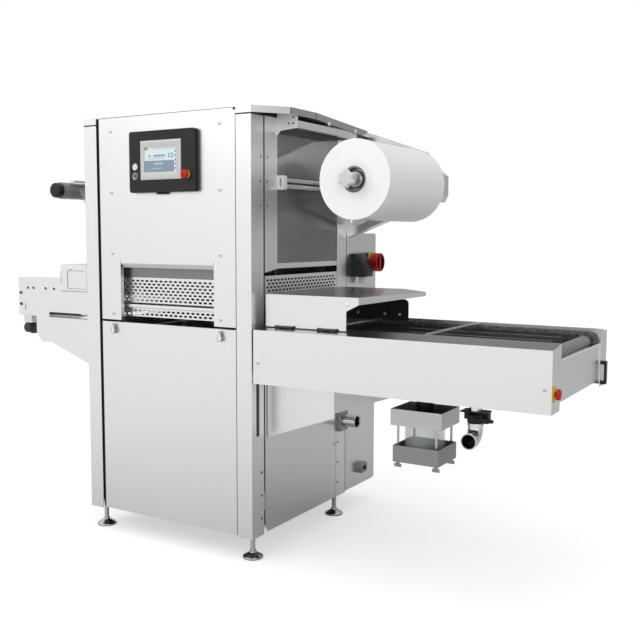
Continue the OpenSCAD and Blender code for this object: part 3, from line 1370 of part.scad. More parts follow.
module cabinet_fittings() placed(black) {
  difference() {
    union() {
      block([0, switch_y - switch_plate / 2, switch_z - switch_plate / 2], [switch_plate_t,
        switch_y + switch_plate / 2, switch_z + switch_plate / 2]);
      rod_x([switch_plate_t, switch_y, switch_z], switch_neck_r, switch_neck_l);
    }
    rod_x([-over, switch_y, switch_z], switch_shaft_r + run_gap, switch_plate_t + switch_neck_l + 2 * over);
  }
  along_y(plug_y[0], plug_y[1]) polygon([[0, plug_z[0]], [plug_out, plug_z[0]], [plug_out,
    plug_z[1] - plug_out], [plug_base, plug_z[1]], [0, plug_z[1]]]);
  turned_z(plug_out / 2, (plug_y[0] + plug_y[1]) / 2, [[0, plug_z[0] - gland_h], [gland_r * 0.7,
    plug_z[0] - gland_h], [gland_r, plug_z[0] - gland_h / 2], [gland_r, plug_z[0]], [0, plug_z[0]]]);
  difference() {
    block([0, socket_y[0], socket_z[0]], [socket_d, socket_y[1], socket_z[1]]);
    block([socket_d / 2, (socket_y[0] + socket_y[1] - socket_hole.x) / 2,
      (socket_z[0] + socket_z[1] - socket_hole.y) / 2],
      [socket_d + over, (socket_y[0] + socket_y[1] + socket_hole.x) / 2,
        (socket_z[0] + socket_z[1] + socket_hole.y) / 2]);
  }
}
handle_x0 = switch_plate_t + switch_neck_l + seat_gap;
module main_switch_handle() placed(signal_red) {
  rod_x([switch_plate_t - over, switch_y, switch_z], switch_shaft_r, switch_neck_l + over + disc_t);
  rod_x([handle_x0, switch_y, switch_z], disc_r, disc_t);
  difference() {
    rod_x([handle_x0 + disc_t, switch_y, switch_z], ring_r, ring_t);
    along_x(handle_x0 + disc_t + ring_t - pocket_t, handle_x0 + disc_t + ring_t + over) difference() {
      translate([switch_y, switch_z]) circle(r = ring_r - ring_wall);
      area([switch_y - grip_w / 2, switch_z - ring_r], [switch_y + grip_w / 2, switch_z + ring_r]);
    }
  }
}

// Pipes: vacuum port on the rear post, drain valve and elbow under the infeed
port_in = 37;
port_y = body_d - port_in;
port_z = 478;
port_r = 30;
port_wall = 2.5;
port_l = 70;
port_flange = [44, 50, 18];
elbow_x = 855;
elbow_z = 578;
elbow_r = 26;
elbow_wall = 2;
elbow_in = 141;
elbow_y0 = inner_y0 + elbow_in;
elbow_bend = 45;
elbow_straight = 30;
valve_r = 34;
valve_h = 46;
valve_plate = [110, 68, 6];
valve_boss_l = 6;
lever_shaft_r = 5;
elbow_yc = elbow_y0 + elbow_straight + elbow_bend;
valve_z0 = elbow_z + elbow_bend + elbow_straight / 2;
valve_y = elbow_yc;
valve_mid = valve_z0 + valve_h / 2;
hang_z1 = bed_z - bed_t - 2 * brace_h;
module pipe_ring() difference() { circle(r = elbow_r); circle(r = elbow_r - elbow_wall); }
module pipe_fittings() placed(grey) {
  difference() {
    union() {
      block([0, port_y - port_flange[0], port_z - port_flange[1]], [port_flange[2],
        port_y + port_flange[0] - rail_set, port_z + port_flange[1]]);
      rod_x([port_flange[2], port_y, port_z], port_r, port_l);
    }
    rod_x([port_flange[2], port_y, port_z], port_r - port_wall, port_l + over);
  }
  along_y(elbow_y0, elbow_y0 + elbow_straight) translate([elbow_x, elbow_z]) pipe_ring();
  translate([elbow_x, elbow_y0 + elbow_straight, elbow_z + elbow_bend]) rotate([0, 90, 0])
    rotate_extrude(angle = 90) translate([elbow_bend, 0]) pipe_ring();
  along_z(elbow_z + elbow_bend, valve_z0) translate([elbow_x, valve_y]) pipe_ring();
  difference() {
    union() {
      rod_z([elbow_x, valve_y, valve_z0], valve_r, valve_h);
      rod_y([elbow_x, valve_y - valve_r - valve_boss_l, valve_mid], 3 * lever_shaft_r, valve_r);
    }
    rod_y([elbow_x, valve_y - valve_r - valve_boss_l - over, valve_mid], lever_shaft_r + run_gap,
      valve_r + over);
  }
  rod_z([elbow_x, valve_y, valve_z0 + valve_h], elbow_r, hang_z1 - valve_z0 - valve_h - valve_plate[2]);
  block([elbow_x - valve_plate[0] / 2, valve_y - valve_plate[1] / 2, valve_z0 + valve_h],
    [elbow_x + valve_plate[0] / 2, valve_y + valve_plate[1] / 2, valve_z0 + valve_h + valve_plate[2]]);
  block([elbow_x - valve_plate[0] / 2, valve_y - hem / 2, hang_z1 - valve_plate[2]],
    [bed_x0 + brace_share[2] * (bed_x1 - bed_x0) + brace_w / 2, valve_y + hem / 2, hang_z1]);
}
lever_l = 89;
lever_w = 14;
lever_t = 6;
lever_y = valve_y - valve_r - valve_boss_l - seat_gap - lever_t;
module valve_lever() placed(black) {
  rod_y([elbow_x, lever_y, valve_mid], lever_shaft_r, lever_t + valve_r - over);
  along_y(lever_y, lever_y + lever_t) round_area([elbow_x - lever_w / 2, valve_mid - lever_w / 2],
    [elbow_x + lever_l, valve_mid + lever_w / 2], lever_w / 2);
}

// Separator under the infeed
sep_x0 = 516;
sep_y0 = inner_y0 + elbow_in;
sep_drop = 195;
sep_box_h = 68;
sep_glass_h = 82;
pan_h = 69;
sep_box_z = [hang_z1 - sep_drop - sep_box_h, hang_z1 - sep_drop];
pan_z = [sep_box_z[0] - sep_glass_h - pan_h, sep_box_z[0] - sep_glass_h];
pan_in = 12;
sep_wall = 2;
sep_floor = 6;
rod_r = 5;
rod_in = 16;
nut_r = 8;
nut_h = 10;
wing_l = 16;
wing_h = 14;
wing_t = 3;
sep_pipe_r = 34;
glass_t = 5;
sep_mid = [sep_x0 + sep_w / 2, sep_y0 + sep_d / 2];
sep_pipe_w = 60;
module open_box(low, high) difference() {
  block(low, high);
  block(low + [sep_wall, sep_wall, sep_floor], high + [-sep_wall, -sep_wall, over]);
}
module sep_corners() for (x = [sep_x0 + rod_in + pan_in, sep_x0 + sep_w - rod_in - pan_in],
  y = [sep_y0 + rod_in, sep_y0 + sep_d - rod_in])
  translate([x, y, 0]) children();
module vacuum_separator() placed(grey) {
  open_box([sep_x0, sep_y0, sep_box_z[0]], [sep_x0 + sep_w, sep_y0 + sep_d, sep_box_z[1]]);
  open_box([sep_x0 + pan_in, sep_y0, pan_z[0]], [sep_x0 + sep_w - pan_in, sep_y0 + sep_d, pan_z[1]]);
  sep_corners() {
    rod_z([0, 0, pan_z[0] + sep_floor], rod_r, sep_box_z[0] - pan_z[0] - sep_floor);
    rod_z([0, 0, pan_z[0] - nut_h], nut_r, nut_h);
    block([-wing_l, -wing_t / 2, pan_z[0] - nut_h - wing_h], [wing_l, wing_t / 2, pan_z[0] - nut_h]);
  }
  rod_z([sep_mid.x, sep_mid.y, sep_box_z[0] + sep_floor], sep_pipe_r, hang_z1 - sep_box_z[0] - sep_floor);
  block([sep_mid.x - sep_pipe_w / 2, inner_y0, hang_z1 - sep_floor], [sep_mid.x + sep_pipe_w / 2, inner_y1,
    hang_z1]);
}
module separator_glass() placed([0.8, 0.85, 0.88]) difference() {
  rod_z([sep_mid.x, sep_mid.y, pan_z[0] + sep_floor], glass_r, sep_box_z[0] - pan_z[0] - sep_floor);
  rod_z([sep_mid.x, sep_mid.y, pan_z[0] + sep_floor - over], glass_r - glass_t,
    sep_box_z[0] - pan_z[0] + over);
}

// Bounding box middle, where the origin is
end_stop_x = infeed_l + stop_l;
mid_x = (end_stop_x + left_x - outfeed_l) / 2;
mid_y = (cab_y1 + cab_door_t + cab_lock_h - hmi_d - stop_l) / 2;

base_frame();
corner_posts();
roof_cover();
body_panels();
front_panel();
panel_screws();
levelling_feet();
lower_door();
latch_left();
latch_right();
hmi_housing();
hmi_bezel();
hmi_display();
start_button();
stop_button();
estop_collars();
estop_knob_panel();
estop_knob_conveyor();
perforated_guards();
upper_tool();
lower_tool();
lift_guides();
gripper_bars();
infeed_side_panels();
infeed_bed();
infeed_chains();
pusher_bars();
infeed_drive_shaft();
infeed_tail_roller();
strap_handle();
guard_cover();
cover_hinges();
cover_back_plate();
gusset_plates();
infeed_guard_frame();
infeed_guard_pane();
film_roll();
roll_mandrel();
roll_knob();
film_arms();
roller_brackets();
guide_roller_upper();
guide_roller_lower();
film_web();
rewind_shaft();
outfeed_sides();
outfeed_belt();
outfeed_drive_roller();
outfeed_tail_roller();
outfeed_cover();
outfeed_motor();
electric_cabinet();
cabinet_door();
cabinet_fittings();
main_switch_handle();
pipe_fittings();
valve_lever();
vacuum_separator();
separator_glass();
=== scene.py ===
"""Looks of the tray sealer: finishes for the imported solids, turned and pressed pieces worked out
with numpy, a studio and the photograph's camera. Places and profiles are in millimetres."""

import math

import bmesh
import bpy
import numpy as np
from mathutils import Euler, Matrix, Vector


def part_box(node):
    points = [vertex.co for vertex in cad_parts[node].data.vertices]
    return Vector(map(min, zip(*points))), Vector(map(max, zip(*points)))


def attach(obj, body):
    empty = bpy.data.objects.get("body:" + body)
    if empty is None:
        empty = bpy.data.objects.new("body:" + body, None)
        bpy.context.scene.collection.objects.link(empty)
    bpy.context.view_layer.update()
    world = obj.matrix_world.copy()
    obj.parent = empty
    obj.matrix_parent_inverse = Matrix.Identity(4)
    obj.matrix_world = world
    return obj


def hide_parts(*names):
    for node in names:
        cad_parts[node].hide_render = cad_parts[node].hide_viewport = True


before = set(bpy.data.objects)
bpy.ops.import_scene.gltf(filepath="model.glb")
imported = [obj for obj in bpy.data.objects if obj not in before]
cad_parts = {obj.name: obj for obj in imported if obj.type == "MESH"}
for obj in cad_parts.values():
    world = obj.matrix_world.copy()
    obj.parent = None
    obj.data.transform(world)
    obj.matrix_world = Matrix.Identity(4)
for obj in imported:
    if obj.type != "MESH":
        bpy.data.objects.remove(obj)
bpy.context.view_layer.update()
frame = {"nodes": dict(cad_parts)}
nodes, scene = frame["nodes"], bpy.context.scene
MM = 0.001
X, Y, Z = range(3)

# Places read from the solids: the station's right face and its front face
post_low, post_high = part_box("corner_posts")
face_x, face_y = post_high.x, post_low.y


def at(x, y, z):
    """A point given in millimetres from the station's right face, front face and floor."""
    return np.array([face_x + x * MM, face_y + y * MM, z * MM])


def infix(operation, turned=False):
    """A method for one of Python's operators: it adds the Math node that does operation. turned
    puts the other value first."""

    def method(wire, other):
        return wire.math(operation, *((other, wire) if turned else (wire, other)))

    return method


class Wire:
    """A node's output that Python's operators extend with Math nodes."""

    def __init__(self, maker, socket):
        self.maker, self.socket = maker, socket

    def math(self, operation, *values):
        sockets = {f"_{i}": v for i, v in enumerate(values)}
        return self.maker.node("Math", {"operation": operation}, **sockets)

    __add__ = __radd__ = infix("ADD")
    __mul__ = __rmul__ = infix("MULTIPLY")
    __sub__, __rsub__ = infix("SUBTRACT"), infix("SUBTRACT", True)
    __truediv__, __rtruediv__ = infix("DIVIDE"), infix("DIVIDE", True)
    __mod__, __rmod__ = infix("FLOORED_MODULO"), infix("FLOORED_MODULO", True)
    __gt__, __lt__ = infix("GREATER_THAN"), infix("LESS_THAN")

    def clip(self):
        return self.maker.node("Clamp", Value=self)

    def root(self):
        return self.math("SQRT", self)

    def sine(self):
        return self.math("SINE", self)


class Maker:
    """Adds nodes to one tree; every node comes from node()."""

    def __init__(self, tree):
        self.tree = tree
        tree.nodes.clear()

    def node(self, kind, settings=None, out=0, **sockets):
        made = self.tree.nodes.new("ShaderNode" + kind)
        for key, value in (settings or {}).items():
            setattr(made, key, value)
        for key, value in sockets.items():
            numbered = key[0] == "_"
            found = made.inputs[int(key[1:]) if numbered else key.replace("_", " ")]
            if isinstance(value, Wire):
                self.tree.links.new(value.socket, found)
            elif isinstance(value, tuple) and len(value) == 3 and found.type == "RGBA":
                found.default_value = (*value, 1)
            else:
                found.default_value = value
        return Wire(self, made.outputs[out]) if made.outputs else None

    def place(self):
        return self.node("TexCoord", out=3)

    def stretch(self, vector, scale):
        return self.node("VectorMath", {"operation": "MULTIPLY"}, _0=vector, _1=scale)

    def parts(self, vector):
        made = self.node("SeparateXYZ", Vector=vector).socket.node
        return [Wire(self, out) for out in made.outputs]

    def rays(self, *names):
        made = self.node("LightPath").socket.node
        return [Wire(self, made.outputs[f"Is {name} Ray"]) for name in names]

    def noise(self, vector, scale, detail=3.0, rough=0.55):
        return self.node("TexNoise", Vector=vector, Scale=scale, Detail=detail, Roughness=rough)

    def mix(self, factor, a, b):
        return self.node("Mix", {"data_type": "RGBA"}, 2, _0=factor, _6=a, _7=b)

    def bump(self, height, strength, distance):
        return self.node("Bump", Height=height, Strength=strength, Distance=distance)

    def dimmed(self, colour, share):
        """colour, taken down to share of itself."""
        return self.mix(share, (0, 0, 0), colour)

    def painted_facing_shade(self, top, side):
        """Painted shade: 1 in general, top on faces that look up, and side on faces that look
        right. A face starts to count where that part of its normal is 0.6, and counts wholly from
        0.8."""
        right, _, up = self.parts(self.node("TexCoord", out=1))
        to_top, to_side = (((part - 0.6) * 5).clip() for part in (up, right))
        return (1 - to_top * (1 - top)) * (1 - to_side * (1 - side))


def finish(name, fill, **constants):
    """A material whose principled shader takes fill's wires, and constants on its own sockets."""
    material = bpy.data.materials.new(name)
    material.use_nodes = True
    maker = Maker(material.node_tree)
    shader = maker.node("BsdfPrincipled", **fill(maker), **constants)
    maker.node("OutputMaterial", Surface=shader)
    return material


def shade(tone, factor):
    """tone made lighter or darker by factor, within white."""
    return tuple(min(1.0, c * factor) for c in tone)


# Waves a metre along X, Y and Z: scratches run along the axis that has the fewest
BRUSHED_X, BRUSHED_Z, BLASTED = (7.0, 420.0, 420.0), (420.0, 420.0, 7.0), (60.0, 60.0, 60.0)
SCRATCH_DEPTH = 0.000012
CLOUD_WAVES, PAINT_WAVES = 1.7, 900.0


def steel(name, tone, rough, metallic=1.0, grain=BRUSHED_Z, cloud=0.025, top=1.0, side=1.0,
          low=(0.0, 1.0)):
    """Satin sheet: fine scratches along one axis and faint wide clouds in tone and gloss. As
    painted shade, faces that look up take top's share of the tone and those that look right take
    side's;
    what lies under low's height takes low's share."""
    low_height, low_share = low

    def fill(m):
        p = m.place()
        _, _, height = m.parts(p)
        share = m.painted_facing_shade(top, side) * (1 - (height < low_height) * (1 - low_share))
        lines = m.noise(m.stretch(p, grain), 1.0, 2.0)
        clouds = m.noise(p, CLOUD_WAVES, 2.0)
        mask = (clouds * 0.6 + lines * 0.4).clip()
        sheet = m.mix(mask, shade(tone, 1 - cloud), shade(tone, 1 + cloud))
        return {
            "Base_Color": m.dimmed(sheet, share),
            "Roughness": (clouds * 0.05 + lines * 0.05 + rough - 0.05).clip(),
            "Normal": m.bump(lines, 0.2, SCRATCH_DEPTH),
        }

    return finish(name, fill, Metallic=metallic)


def grained(name, tone, rough, depth=0.00004, spread=0.08, side=1.0, **constants):
    """Moulded plastic or powder paint: a fine leathery grain and slightly uneven gloss. As painted
    shade, faces that look right take side's share of the tone."""

    def fill(m):
        p = m.place()
        grain, cloud = m.noise(p, PAINT_WAVES, 2.0), m.noise(p, 7.0)
        skin = m.mix(cloud, shade(tone, 1 - spread), shade(tone, 1 + spread))
        return {
            "Base_Color": m.dimmed(skin, m.painted_facing_shade(1.0, side)),
            "Roughness": ((cloud - 0.5) * 0.12 + rough).clip(),
            "Normal": m.bump(grain, 0.3, depth),
        }

    return finish(name, fill, **constants)


def oiled_chain():
    """Chain steel: dark oil in patches and worn bright spots."""

    def fill(m):
        p = m.place()
        oil, speck = m.noise(p, 60.0, 4.0, 0.7), m.noise(p, 420.0, 2.0)
        return {
            "Base_Color": m.mix((oil * 1.6 - 0.3).clip(), (0.05, 0.05, 0.05), (0.30, 0.30, 0.29)),
            "Roughness": (oil * 0.3 + speck * 0.15 + 0.2).clip(),
            "Normal": m.bump(speck, 0.3, 0.0001),
        }

    return finish("oiled_chain", fill, Metallic=0.9)


def knurled():
    """Roller steel with a crosshatch: two slanted waves that cross along and over the roller. The
    grooves are darkened as painted shade.
    """
    waves = 310.0

    def fill(m):
        x, y, z = m.parts(m.place())
        along, over = y * waves, (x - z) * waves
        cross = (along + over).sine() * (along - over).sine()
        mask = (cross * 2.5 + 0.5).clip()
        return {
            "Base_Color": m.mix(mask, (0.05, 0.05, 0.05), (0.60, 0.60, 0.60)),
            "Roughness": mask * -0.15 + 0.45,
            "Normal": m.bump(cross, 0.6, 0.0006),
        }

    return finish("knurled", fill, Metallic=0.9)


def wound_film(centre):
    """Film wound on a core: the distance to the axis gives the core's dark ring, a painted grey
    shade near it and the turns on the ends, and the place along the axis gives faint bands outside."""
    core_edge, shade_edge, shade_rise = 0.0525, 0.090, 28.0

    def fill(m):
        x, y, z = m.parts(m.place())
        dx, dz = x - float(centre[0]), z - float(centre[2])
        radius = (dx * dx + dz * dz).root()
        turns = m.noise(m.node("CombineXYZ", X=radius * 900.0), 1.0)
        bands = m.noise(m.node("CombineXYZ", Y=y * 30.0), 1.0, 4.0)
        film = m.mix((turns * 0.5 + bands * 0.5).clip(), (0.90, 0.90, 0.905), (0.97, 0.97, 0.97))
        # Painted shade: the film's ends turn greyer towards the core
        near = ((shade_edge - radius) * shade_rise).clip()
        film = m.mix(near * 0.3, film, (0.60, 0.60, 0.61))
        return {
            "Base_Color": m.mix(radius < core_edge, film, (0.10, 0.10, 0.105)),
            "Roughness": (bands * 0.12 + 0.30).clip(),
            "Normal": m.bump(turns + bands * 0.4, 0.2, 0.0003),
        }

    return finish("wound_film", fill, Coat_Weight=0.45, Coat_Roughness=0.16)


def see_through(name, tone, rough, alpha, streaks=(1.0, 1.0, 9.0), **constants):
    """Clear sheet, film or glass: mostly see-through with streaks that catch the light."""

    def fill(m):
        streak = m.noise(m.stretch(m.place(), streaks), 3.0, 4.0)
        return {
            "Base_Color": m.mix(streak, shade(tone, 0.85), tone),
            "Roughness": (streak * 0.08 + rough).clip(),
            "Alpha": (streak * 0.14 + alpha - 0.07).clip(),
            "Normal": m.bump(streak, 0.1, 0.0004),
        }

    return finish(name, fill, IOR=1.5, **constants)


def woven_belt():
    """Belt cloth: two crossed waves make the weave."""
    waves = 1400.0

    def fill(m):
        p = m.place()
        x, y, _ = m.parts(p)
        cloud = m.noise(p, 8.0)
        return {
            "Base_Color": m.mix(cloud, (0.60, 0.61, 0.62), (0.74, 0.75, 0.75)),
            "Roughness": (cloud * 0.2 + 0.45).clip(),
            "Normal": m.bump((x * waves).sine() * (y * waves).sine(), 0.3, 0.0002),
        }

    return finish("woven_belt", fill)


def lit_screen():
    """A plain operator page: a pale upper pane with a key, a blue-grey lower pane and a side strip.
    u and v run from 0 to 1 across and up the glass, and a mask is 1 between four limits of them."""
    low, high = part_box("hmi_display")

    def fill(m):
        x, _, z = m.parts(m.place())
        u, v = (x - low.x) / (high.x - low.x), (z - low.z) / (high.z - low.z)

        def boxed(u0, u1, v0, v1):
            return (u > u0) * (u < u1) * (v > v0) * (v < v1)

        def broken(step, share):
            return ((u * step) % 1.0) > share

        page = m.mix(v < 0.46, (0.74, 0.79, 0.82), (0.22, 0.30, 0.38))
        for mask, tone in (
            (boxed(0.0, 1.0, 0.90, 1.0), (0.60, 0.66, 0.70)),
            (boxed(0.0, 0.10, 0.90, 1.0), (0.10, 0.42, 0.10)),
            (boxed(0.12, 0.26, 0.90, 1.0), (0.72, 0.76, 0.78)),
            (boxed(0.10, 0.20, 0.62, 0.68) * broken(30.0, 0.4), (0.10, 0.14, 0.18)),
            (boxed(0.28, 0.66, 0.60, 0.70) * broken(22.0, 0.35), (0.05, 0.20, 0.36)),
            (boxed(0.14, 0.60, 0.52, 0.55), (0.45, 0.52, 0.57)),
            (boxed(0.74, 0.90, 0.56, 0.74), (0.08, 0.50, 0.72)),
            (boxed(0.78, 0.86, 0.61, 0.69), (0.70, 0.86, 0.92)),
            (boxed(0.28, 0.58, 0.30, 0.37) * broken(18.0, 0.3), (0.62, 0.68, 0.72)),
            (boxed(0.22, 0.54, 0.12, 0.17) * broken(24.0, 0.3), (0.50, 0.56, 0.61)),
            (boxed(0.93, 1.0, 0.0, 1.0), (0.72, 0.75, 0.77)),
            (boxed(0.95, 0.985, 0.05, 0.95) * (((v * 6.0) % 1.0) > 0.6), (0.10, 0.12, 0.14)),
        ):
            page = m.mix(mask, page, tone)
        smear = m.noise(m.place(), 30.0)
        return {
            "Base_Color": m.mix(0.85, page, (0.02, 0.02, 0.02)),
            "Emission_Color": page,
            "Roughness": (smear * 0.1 + 0.08).clip(),
        }

    return finish("lit_screen", fill, Emission_Strength=0.8)


def wear(names, material):
    """Gives the solids called names this finish."""
    for name in names.split():
        slots = nodes[name].data.materials
        slots.clear()
        slots.append(material)


# Steel sheet, bars and tubes
SHEET = (0.83, 0.83, 0.835)
front_steel = steel("front_steel", SHEET, 0.34)
side_steel = steel("side_steel", (0.77, 0.775, 0.78), 0.24)
# Painted shade: the guard cover's and the infeed side panels' tops, and the roof's right faces, are
# darkened
cover_steel = steel("cover_steel", SHEET, 0.24, grain=BRUSHED_X, top=0.35)
conveyor_steel = steel("conveyor_steel", SHEET, 0.30, grain=BRUSHED_X, top=0.26)
roof_steel = steel("roof_steel", SHEET, 0.32, side=0.60)
plate_steel = steel("plate_steel", (0.84, 0.84, 0.845), 0.45, 0.25)
latch_steel = steel("latch_steel", (0.86, 0.86, 0.865), 0.24, 0.3, (300.0, 300.0, 300.0))
bed_steel = steel("bed_steel", (0.14, 0.142, 0.147), 0.33, 0.85, BRUSHED_X, 0.1)
tank_steel = steel("tank_steel", (0.60, 0.605, 0.61), 0.34, 0.75, BLASTED, 0.03, low=(0.535, 0.5))
# Painted shade: hood_steel is dark for the shade on the guards' hood
hood_steel = steel("hood_steel", (0.24, 0.242, 0.245), 0.30, 0.9, BRUSHED_X)
flange_steel = steel("flange_steel", (0.30, 0.302, 0.306), 0.34, 0.8, BLASTED, 0.04)
pan_dark = steel("pan_dark", (0.15, 0.15, 0.153), 0.30, 0.5, BLASTED, 0.1)
turned_steel = steel("turned_steel", (0.60, 0.60, 0.61), 0.22, 1.0, (7.0, 300.0, 7.0), 0.05)
bright_tube = steel("bright_tube", (0.78, 0.785, 0.79), 0.10, grain=(40.0, 40.0, 40.0))
tool_grey = steel("tool_grey", (0.17, 0.17, 0.175), 0.38, 0.9, BLASTED, 0.08)
# Painted shade: the mandrel's grey is darker than its metal, for the shade in the reel's bore
reel_grey = steel("reel_grey", (0.30, 0.30, 0.31), 0.30, 0.9, BLASTED, 0.06)

# Paint and mouldings
bezel_grey = grained("bezel_grey", (0.56, 0.565, 0.57), 0.36, 0.00001, 0.03, Metallic=0.2)
frame_black = grained("frame_black", (0.020, 0.020, 0.022), 0.42)
# Painted shade: charcoal's faces that look right, as on the operator panel's housing, drop to a
# tenth
charcoal = grained("charcoal", (0.020, 0.0205, 0.022), 0.5, side=0.10, Specular_IOR_Level=0.22)
black_moulding = grained("black_moulding", (0.010, 0.010, 0.011), 0.32, Specular_IOR_Level=0.3)
# Black for the hinge caps and roller bands, and painted shade in the gaps and holes
black_and_painted_shade = grained("black_and_painted_shade", (0.008, 0.008, 0.009), 0.6)
white_moulding = grained("white_moulding", (0.74, 0.74, 0.74), 0.35)
knob_moulding = grained("knob_moulding", (0.64, 0.64, 0.65), 0.30)
grey_moulding = grained("grey_moulding", (0.50, 0.50, 0.50), 0.4)
stop_red = grained("stop_red", (0.44, 0.006, 0.006), 0.36, Specular_IOR_Level=0.3)
stop_yellow = grained("stop_yellow", (0.66, 0.50, 0.015), 0.4, Specular_IOR_Level=0.3)

# Clear sheet, film and glass
pane_coat = {"Coat_Weight": 1.0, "Coat_Roughness": 0.01, "Coat_IOR": 1.9}
smoked_pane = see_through("smoked_pane", (0.27, 0.275, 0.28), 0.02, 0.50, **pane_coat)
clear_film = see_through("clear_film", (0.55, 0.57, 0.58), 0.10, 0.34)
wrapped_film = see_through("wrapped_film", (0.26, 0.27, 0.275), 0.16, 0.80, (2.0, 22.0, 2.0))
clear_glass = see_through("clear_glass", (0.62, 0.66, 0.68), 0.03, 0.26)
belt_cloth = woven_belt()

wear("corner_posts front_panel lower_door gusset_plates", front_steel)
wear("outfeed_sides outfeed_cover infeed_guard_frame perforated_guards", front_steel)
wear("body_panels film_arms electric_cabinet cabinet_door", side_steel)
wear("infeed_side_panels", conveyor_steel)
wear("roof_cover", roof_steel)
wear("guard_cover", cover_steel)
wear("infeed_bed", bed_steel)
# Painted shade: the latches' bodies wear dark steel, and only the faces laid on them show bright
# steel
wear("latch_left latch_right", flange_steel)
wear("infeed_drive_shaft levelling_feet lift_guides pusher_bars panel_screws", turned_steel)
wear("outfeed_drive_roller outfeed_tail_roller guide_roller_upper guide_roller_lower", turned_steel)
wear("infeed_tail_roller", knurled())
wear("infeed_chains", oiled_chain())
wear("upper_tool lower_tool gripper_bars", tool_grey)
wear("roll_mandrel", reel_grey)
wear("vacuum_separator", tank_steel)
wear("pipe_fittings", bright_tube)
wear("hmi_bezel", bezel_grey)
wear("hmi_display", lit_screen())
wear("hmi_housing stop_button", charcoal)
# Painted shade: the cover's back plate wears black, for the shade behind the guards' slots
wear("base_frame outfeed_motor cover_back_plate cover_hinges", frame_black)
wear("strap_handle cabinet_fittings valve_lever rewind_shaft", black_moulding)
wear("start_button roller_brackets", white_moulding)
wear("roll_knob", knob_moulding)
wear("estop_knob_panel estop_knob_conveyor main_switch_handle", stop_red)
wear("estop_collars", stop_yellow)
wear("infeed_guard_pane", smoked_pane)
wear("film_web", clear_film)
wear("separator_glass", clear_glass)
wear("outfeed_belt", belt_cloth)


# In metres: points closer than MERGE become one, and slivers under SLIVER are dissolved
MERGE, SLIVER = 1e-6, 1e-7
# The body of all that stands still
FIXED = "machine_frame"


def piece(name, shape, material, body, stands_for=(), sharp=35.0):
    """A mesh object from one shape or a list of them: doubles are merged, faces point outwards, and
    edges over sharp degrees stay sharp."""
    points, faces = joined(*shape) if isinstance(shape, list) else shape
    mesh = bpy.data.meshes.new(name)
    mesh.from_pydata(points.reshape(-1, 3).tolist(), [], faces.tolist())
    work = bmesh.new()
    work.from_mesh(mesh)
    bmesh.ops.remove_doubles(work, verts=work.verts, dist=MERGE)
    bmesh.ops.dissolve_degenerate(work, edges=work.edges, dist=SLIVER)
    bmesh.ops.recalc_face_normals(work, faces=work.faces)
    work.to_mesh(mesh)
    work.free()
    mesh.polygons.foreach_set("use_smooth", np.ones(len(mesh.polygons), bool))
    mesh.set_sharp_from_angle(angle=math.radians(sharp))
    mesh.materials.append(material)
    made = bpy.data.objects.new(name, mesh)
    scene.collection.objects.link(made)
    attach(made, body)
    if stands_for:
        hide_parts(*stands_for)


def weave(rows, columns, close_rows=False, close_columns=False):
    """Quads of a rows by columns grid of points, optionally joined end to end."""
    r = np.arange(rows if close_rows else rows - 1)[:, None]
    c = np.arange(columns if close_columns else columns - 1)[None, :]
    r2, c2 = (r + 1) % rows, (c + 1) % columns
    corners = [r * columns + c, r2 * columns + c, r2 * columns + c2, r * columns + c2]
    return np.stack([np.broadcast_to(k, (r.size, c.size)) for k in corners], -1).reshape(-1, 4)


def lathe(profile, origin, axis, steps=72, wave=None):
    """Surface of revolution: point (a, s) lies at origin + along * axis + radius * (cos a, sin a)
    across the axis; wave(a, radius) may change the radius. Profiles are (radius, along) in mm."""
    profile = np.array(profile, float) * MM
    a = np.linspace(0, 2 * np.pi, steps, endpoint=False)[None, :]
    radius, along = profile[:, :1] + 0 * a, profile[:, 1:] + 0 * a
    if wave:
        radius = wave(a, radius)
    side_1, side_2 = [(1, 2), (2, 0), (0, 1)][axis]
    points = np.zeros((*radius.shape, 3)) + np.array(origin)
    points[..., axis] += along
    points[..., side_1] += radius * np.cos(a)
    points[..., side_2] += radius * np.sin(a)
    return points, weave(len(profile), steps, close_columns=True)


def placed(points):
    """Points given in millimetres from the station's corner, in the scene's metres."""
    return points * MM + at(0, 0, 0)


def circle(t):
    """The points (cos t, sin t)."""
    return np.stack([np.cos(t), np.sin(t)], -1)


def joined(*shapes):
    """Several (points, faces) pairs as one pair."""
    counts = np.cumsum([0] + [p.size // 3 for p, _ in shapes])
    faces = [f + first for (_, f), first in zip(shapes, counts)]
    return np.concatenate([p.reshape(-1, 3) for p, _ in shapes]), np.concatenate(faces)


def rounded(outline, radius=1.0):
    """An outline of 2-D points whose inner corners are each cut by a small curve of four points. No
    cut takes more than 0.45 of a side."""
    out = [outline[0]]
    for before, corner, after in zip(outline, outline[1:], outline[2:]):
        b, c, a = (np.array(p, float) for p in (before, corner, after))
        first, last = b - c, a - c
        cut = min(radius, np.linalg.norm(first) * 0.45, np.linalg.norm(last) * 0.45)
        start = c + first / np.linalg.norm(first) * cut
        end = c + last / np.linalg.norm(last) * cut
        for t in np.linspace(0, 1, 4):
            out.append(tuple((1 - t) ** 2 * start + 2 * t * (1 - t) * c + t**2 * end))
    return [*out, outline[-1]]


def band(inner, outer, start, end):
    """The closed outline of a plain ring: two radii and two places along the axis."""
    return [(inner, start), (outer, start), (outer, end), (inner, end), (inner, start)]


def shell(outside, wall):
    """A turned tube's closed outline: out along the outside and back along the inside."""
    return [*outside, *[(r - wall, s) for r, s in reversed(outside)], outside[0]]


def loop(centre, half, radius, steps=8):
    """A rectangle with round corners as points (u, v), going round once: each corner's arc of
    radius * (cos t, sin t) is set in from the corner by the radius."""
    t = np.linspace(0, np.pi / 2, steps)[None, :] + np.arange(4)[:, None] * np.pi / 2
    inset = np.array([(1, 1), (-1, 1), (-1, -1), (1, -1)]) * (np.array(half) - radius)
    return (inset[:, None] + radius * circle(t)).reshape(-1, 2) + centre


